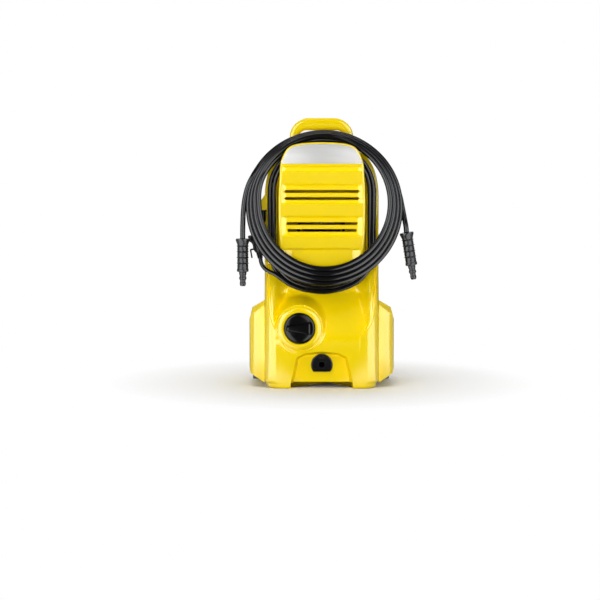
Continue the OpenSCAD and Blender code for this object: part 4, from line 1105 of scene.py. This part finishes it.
FOOT_X = 128.2
FOOT_Y = (feet_low.y + feet_high.y) / 2
FOOT_PROFILE = [(0, 0), (6.6, 0), (7.6, 0.5), (8.0, 1.6), (8.0, 7.5), (7.4, 8.2), (7.4, 11.4), (8.0, 12.2),
                (8.0, 20), (0, 20)]
for name, x, nodes in (("rear_foot_right", FOOT_X, ["rear_feet"]), ("rear_foot_left", -FOOT_X, [])):
    piece(lathe(name, FOOT_PROFILE, 48, Matrix.Translation((x, FOOT_Y, 0))), "grey_rubber", *nodes)

THREAD_LOW, THREAD_PITCH, THREAD_TURNS = 105.2, 2.6, 6
THREAD_R, THREAD_DEPTH = 13.2, 1.3
nipple_profile = [(7.5, 92.2), (14.9, 92.2), (14.9, 100.2), (19.2, 100.2), (19.2, 102.4), (18.6, 103.0),
                  (14.4, 103.0), (13.0, 104.6)]
nipple_profile += repeated(THREAD_TURNS, THREAD_LOW, THREAD_PITCH,
                           [(THREAD_R - THREAD_DEPTH * deep, THREAD_PITCH * along) for deep, along in
                            ((1, 0), (1, 0.2), (0, 0.45), (0, 0.65), (1, 0.9))])
nipple_profile += [(12.0, 123.0), (11.0, 124.0), (8.2, 124.0), (7.5, 123.2)]
piece(lathe("hose_inlet", nipple_profile, 72, inlet_place, ring=True), "black_plastic", "inlet_nipple")

# ---- gland, plug and connectors

gland_profile = [(4.02, 319.2), (4.9, 319.2), (5.0, 320.6)]
for k in range(6, 0, -1):
    r = 7.6 - 0.18 * k
    gland_profile += repeated(1, GLAND_TOP - 3.6 * k, 0, [(5.1, -0.7), (r - 0.3, 0), (r, 0.4), (r, 1.1),
                                                          (r - 0.3, 1.5), (5.2, 2.1)])
gland_profile += [(7.6, GLAND_TOP - 1.5), (7.6, GLAND_TOP - 0.1), (5.5, GLAND_TOP), (5.5, GLAND_TOP + 5.8),
                  (4.02, GLAND_TOP + 5.8)]
gland = lathe("cable_bend_relief", gland_profile, 40, Matrix.Translation((*GLAND, 0)), ring=True)
piece(gland, "black_plastic", "cable_gland")


def plug_body():
    """Straight mains plug: a ribbed sleeve, a waisted grip and a round collar."""
    at = Matrix.Translation(PLUG_PLACE) @ spun(-10, "Y")
    ribs = repeated(5, 1.2, 2.1, [(4.5, 0), (5.5, 0.4), (5.5, 1.1), (4.5, 1.5)], 0.28)
    profile = [(0, 0.2), (4.7, 0.2), *ribs, (6.6, 12.4), (8.4, 14.8), (9.8, 18.0), (10.4, 22.0),
               (10.2, 26.0), (10.6, 30.0), (12.4, 33.4), (15.2, 35.6), (16.2, 37.0), (16.4, 39.0),
               (16.4, 45.6), (16.0, 46.6), (15.0, 47.2), (0, 47.2)]
    flats = [moved(box_solid("flat", (-30, y - 11, 16), (30, y + 11, 31)), at) for y in (-21, 21)]
    body = cut(lathe("plug_body", profile, 64, at), *flats)
    clip_outline = rounded([(-17.2, 3.5, 1.2), (-14.4, 3.5, 1.2), (-14.4, 18.4, 0.6), (-7, 18.4, 0),
                            (-7, 21.4, 0), (-17.2, 21.4, 2.2)], 4)
    return joined(body, moved(stack("clip", clip_outline, [(-3, -0.7), (-2.3, 0), (2.3, 0), (3, -0.7)]), at))


plug = piece(plug_body(), "black_plastic", "mains_plug")


def connector(name, place, node):
    """Hose end: a flared collar, a ribbed sleeve, a ring and a stepped nipple."""
    ribs = repeated(4, 13.4, 11.0, [(10.2, 0), (11.3, 0.6), (11.8, 1.3), (11.3, 2.0), (10.0, 2.7),
                                    (10.6, 5.2), (10.5, 9.6)])
    profile = [(0, 0.2), (5.6, 0.2), (9.0, 0.0), (12.8, 0.6), (13.4, 2.0), (13.3, 4.0), (12.2, 7.0),
               (11.0, 10.4), (10.3, 12.6), *ribs, (10.6, 58.4), (11.2, 59.0), (11.3, 62.6), (10.6, 64.0),
               (8.2, 64.2), (7.2, 65.4), (7.0, 69.6), (6.2, 70.4), (6.2, 73.8), (7.0, 74.6), (7.0, 78.6),
               (5.6, 79.6), (5.3, 84.0), (5.9, 84.8), (5.9, 87.8), (5.2, 90.6), (4.2, 91.8), (0, 91.8)]
    return piece(lathe(name, profile, 56, place), "grey_plastic", node)


down = spun(180, "X")
lean = spun(-9, "Y")
left_connector = connector("hose_end_left", Matrix.Translation(LEFT_END) @ down, "left_connector")
right_connector = connector("hose_end_right", Matrix.Translation(RIGHT_END) @ lean @ down, "right_connector")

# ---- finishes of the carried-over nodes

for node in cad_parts.values():
    for slot in node.material_slots:
        if slot.material and slot.material.name in MATERIALS:
            slot.material = MATERIALS[slot.material.name]

# ---- floor

FLOOR_HALF = 20.0
# Strength of the faint even glow that glossy rays see on the floor: a painted reflection
FLOOR_REFLECTED_GLOW = 0.2
BOUNCE = (0.45, 0.45, 0.45)
floor_mesh = bpy.data.meshes.new("floor")
floor_mesh.from_pydata([(sx * FLOOR_HALF, sy * FLOOR_HALF, 0) for sx, sy in CORNERS], [], [[0, 1, 2, 3]])
floor = linked("floor", floor_mesh)
g = Finish("studio_floor")
rays = g.node("LightPath").outputs
paper = g.mix(g.range(g.noise(0.4), 0.0, 1.0), (0.86, 0.86, 0.86), (0.9, 0.9, 0.9))
g.shade(Roughness=0.9, Specular_IOR_Level=0.1, Base_Color=g.mix(rays["Is Camera Ray"], BOUNCE, paper))
fade = g.range(g.vector("LENGTH", g.place, output="Value"), 0.0, 1.0, 0.13, 0.42)
seen = g.math("MAXIMUM", rays["Is Camera Ray"], rays["Is Glossy Ray"])
# For glossy rays the floor glows, faintly everywhere and brightly in bands towards the front sides. This is a
# painted reflection of tall bright boxes that puts highlights on the shell's corners and the black parts.
reflected_glow = g.math("MULTIPLY_ADD", side_boxes(g, g.place), rays["Is Glossy Ray"], FLOOR_REFLECTED_GLOW)
glow = g.fed("Emission", WHITE, g.math("MAXIMUM", reflected_glow, rays["Is Camera Ray"])).outputs[0]
lit = g.blend(g.math("MULTIPLY", fade, seen), g.shader.outputs[0], glow)
g.feed(g.tree.nodes["Material Output"].inputs["Surface"], lit)
floor_mesh.materials.append(g.material)
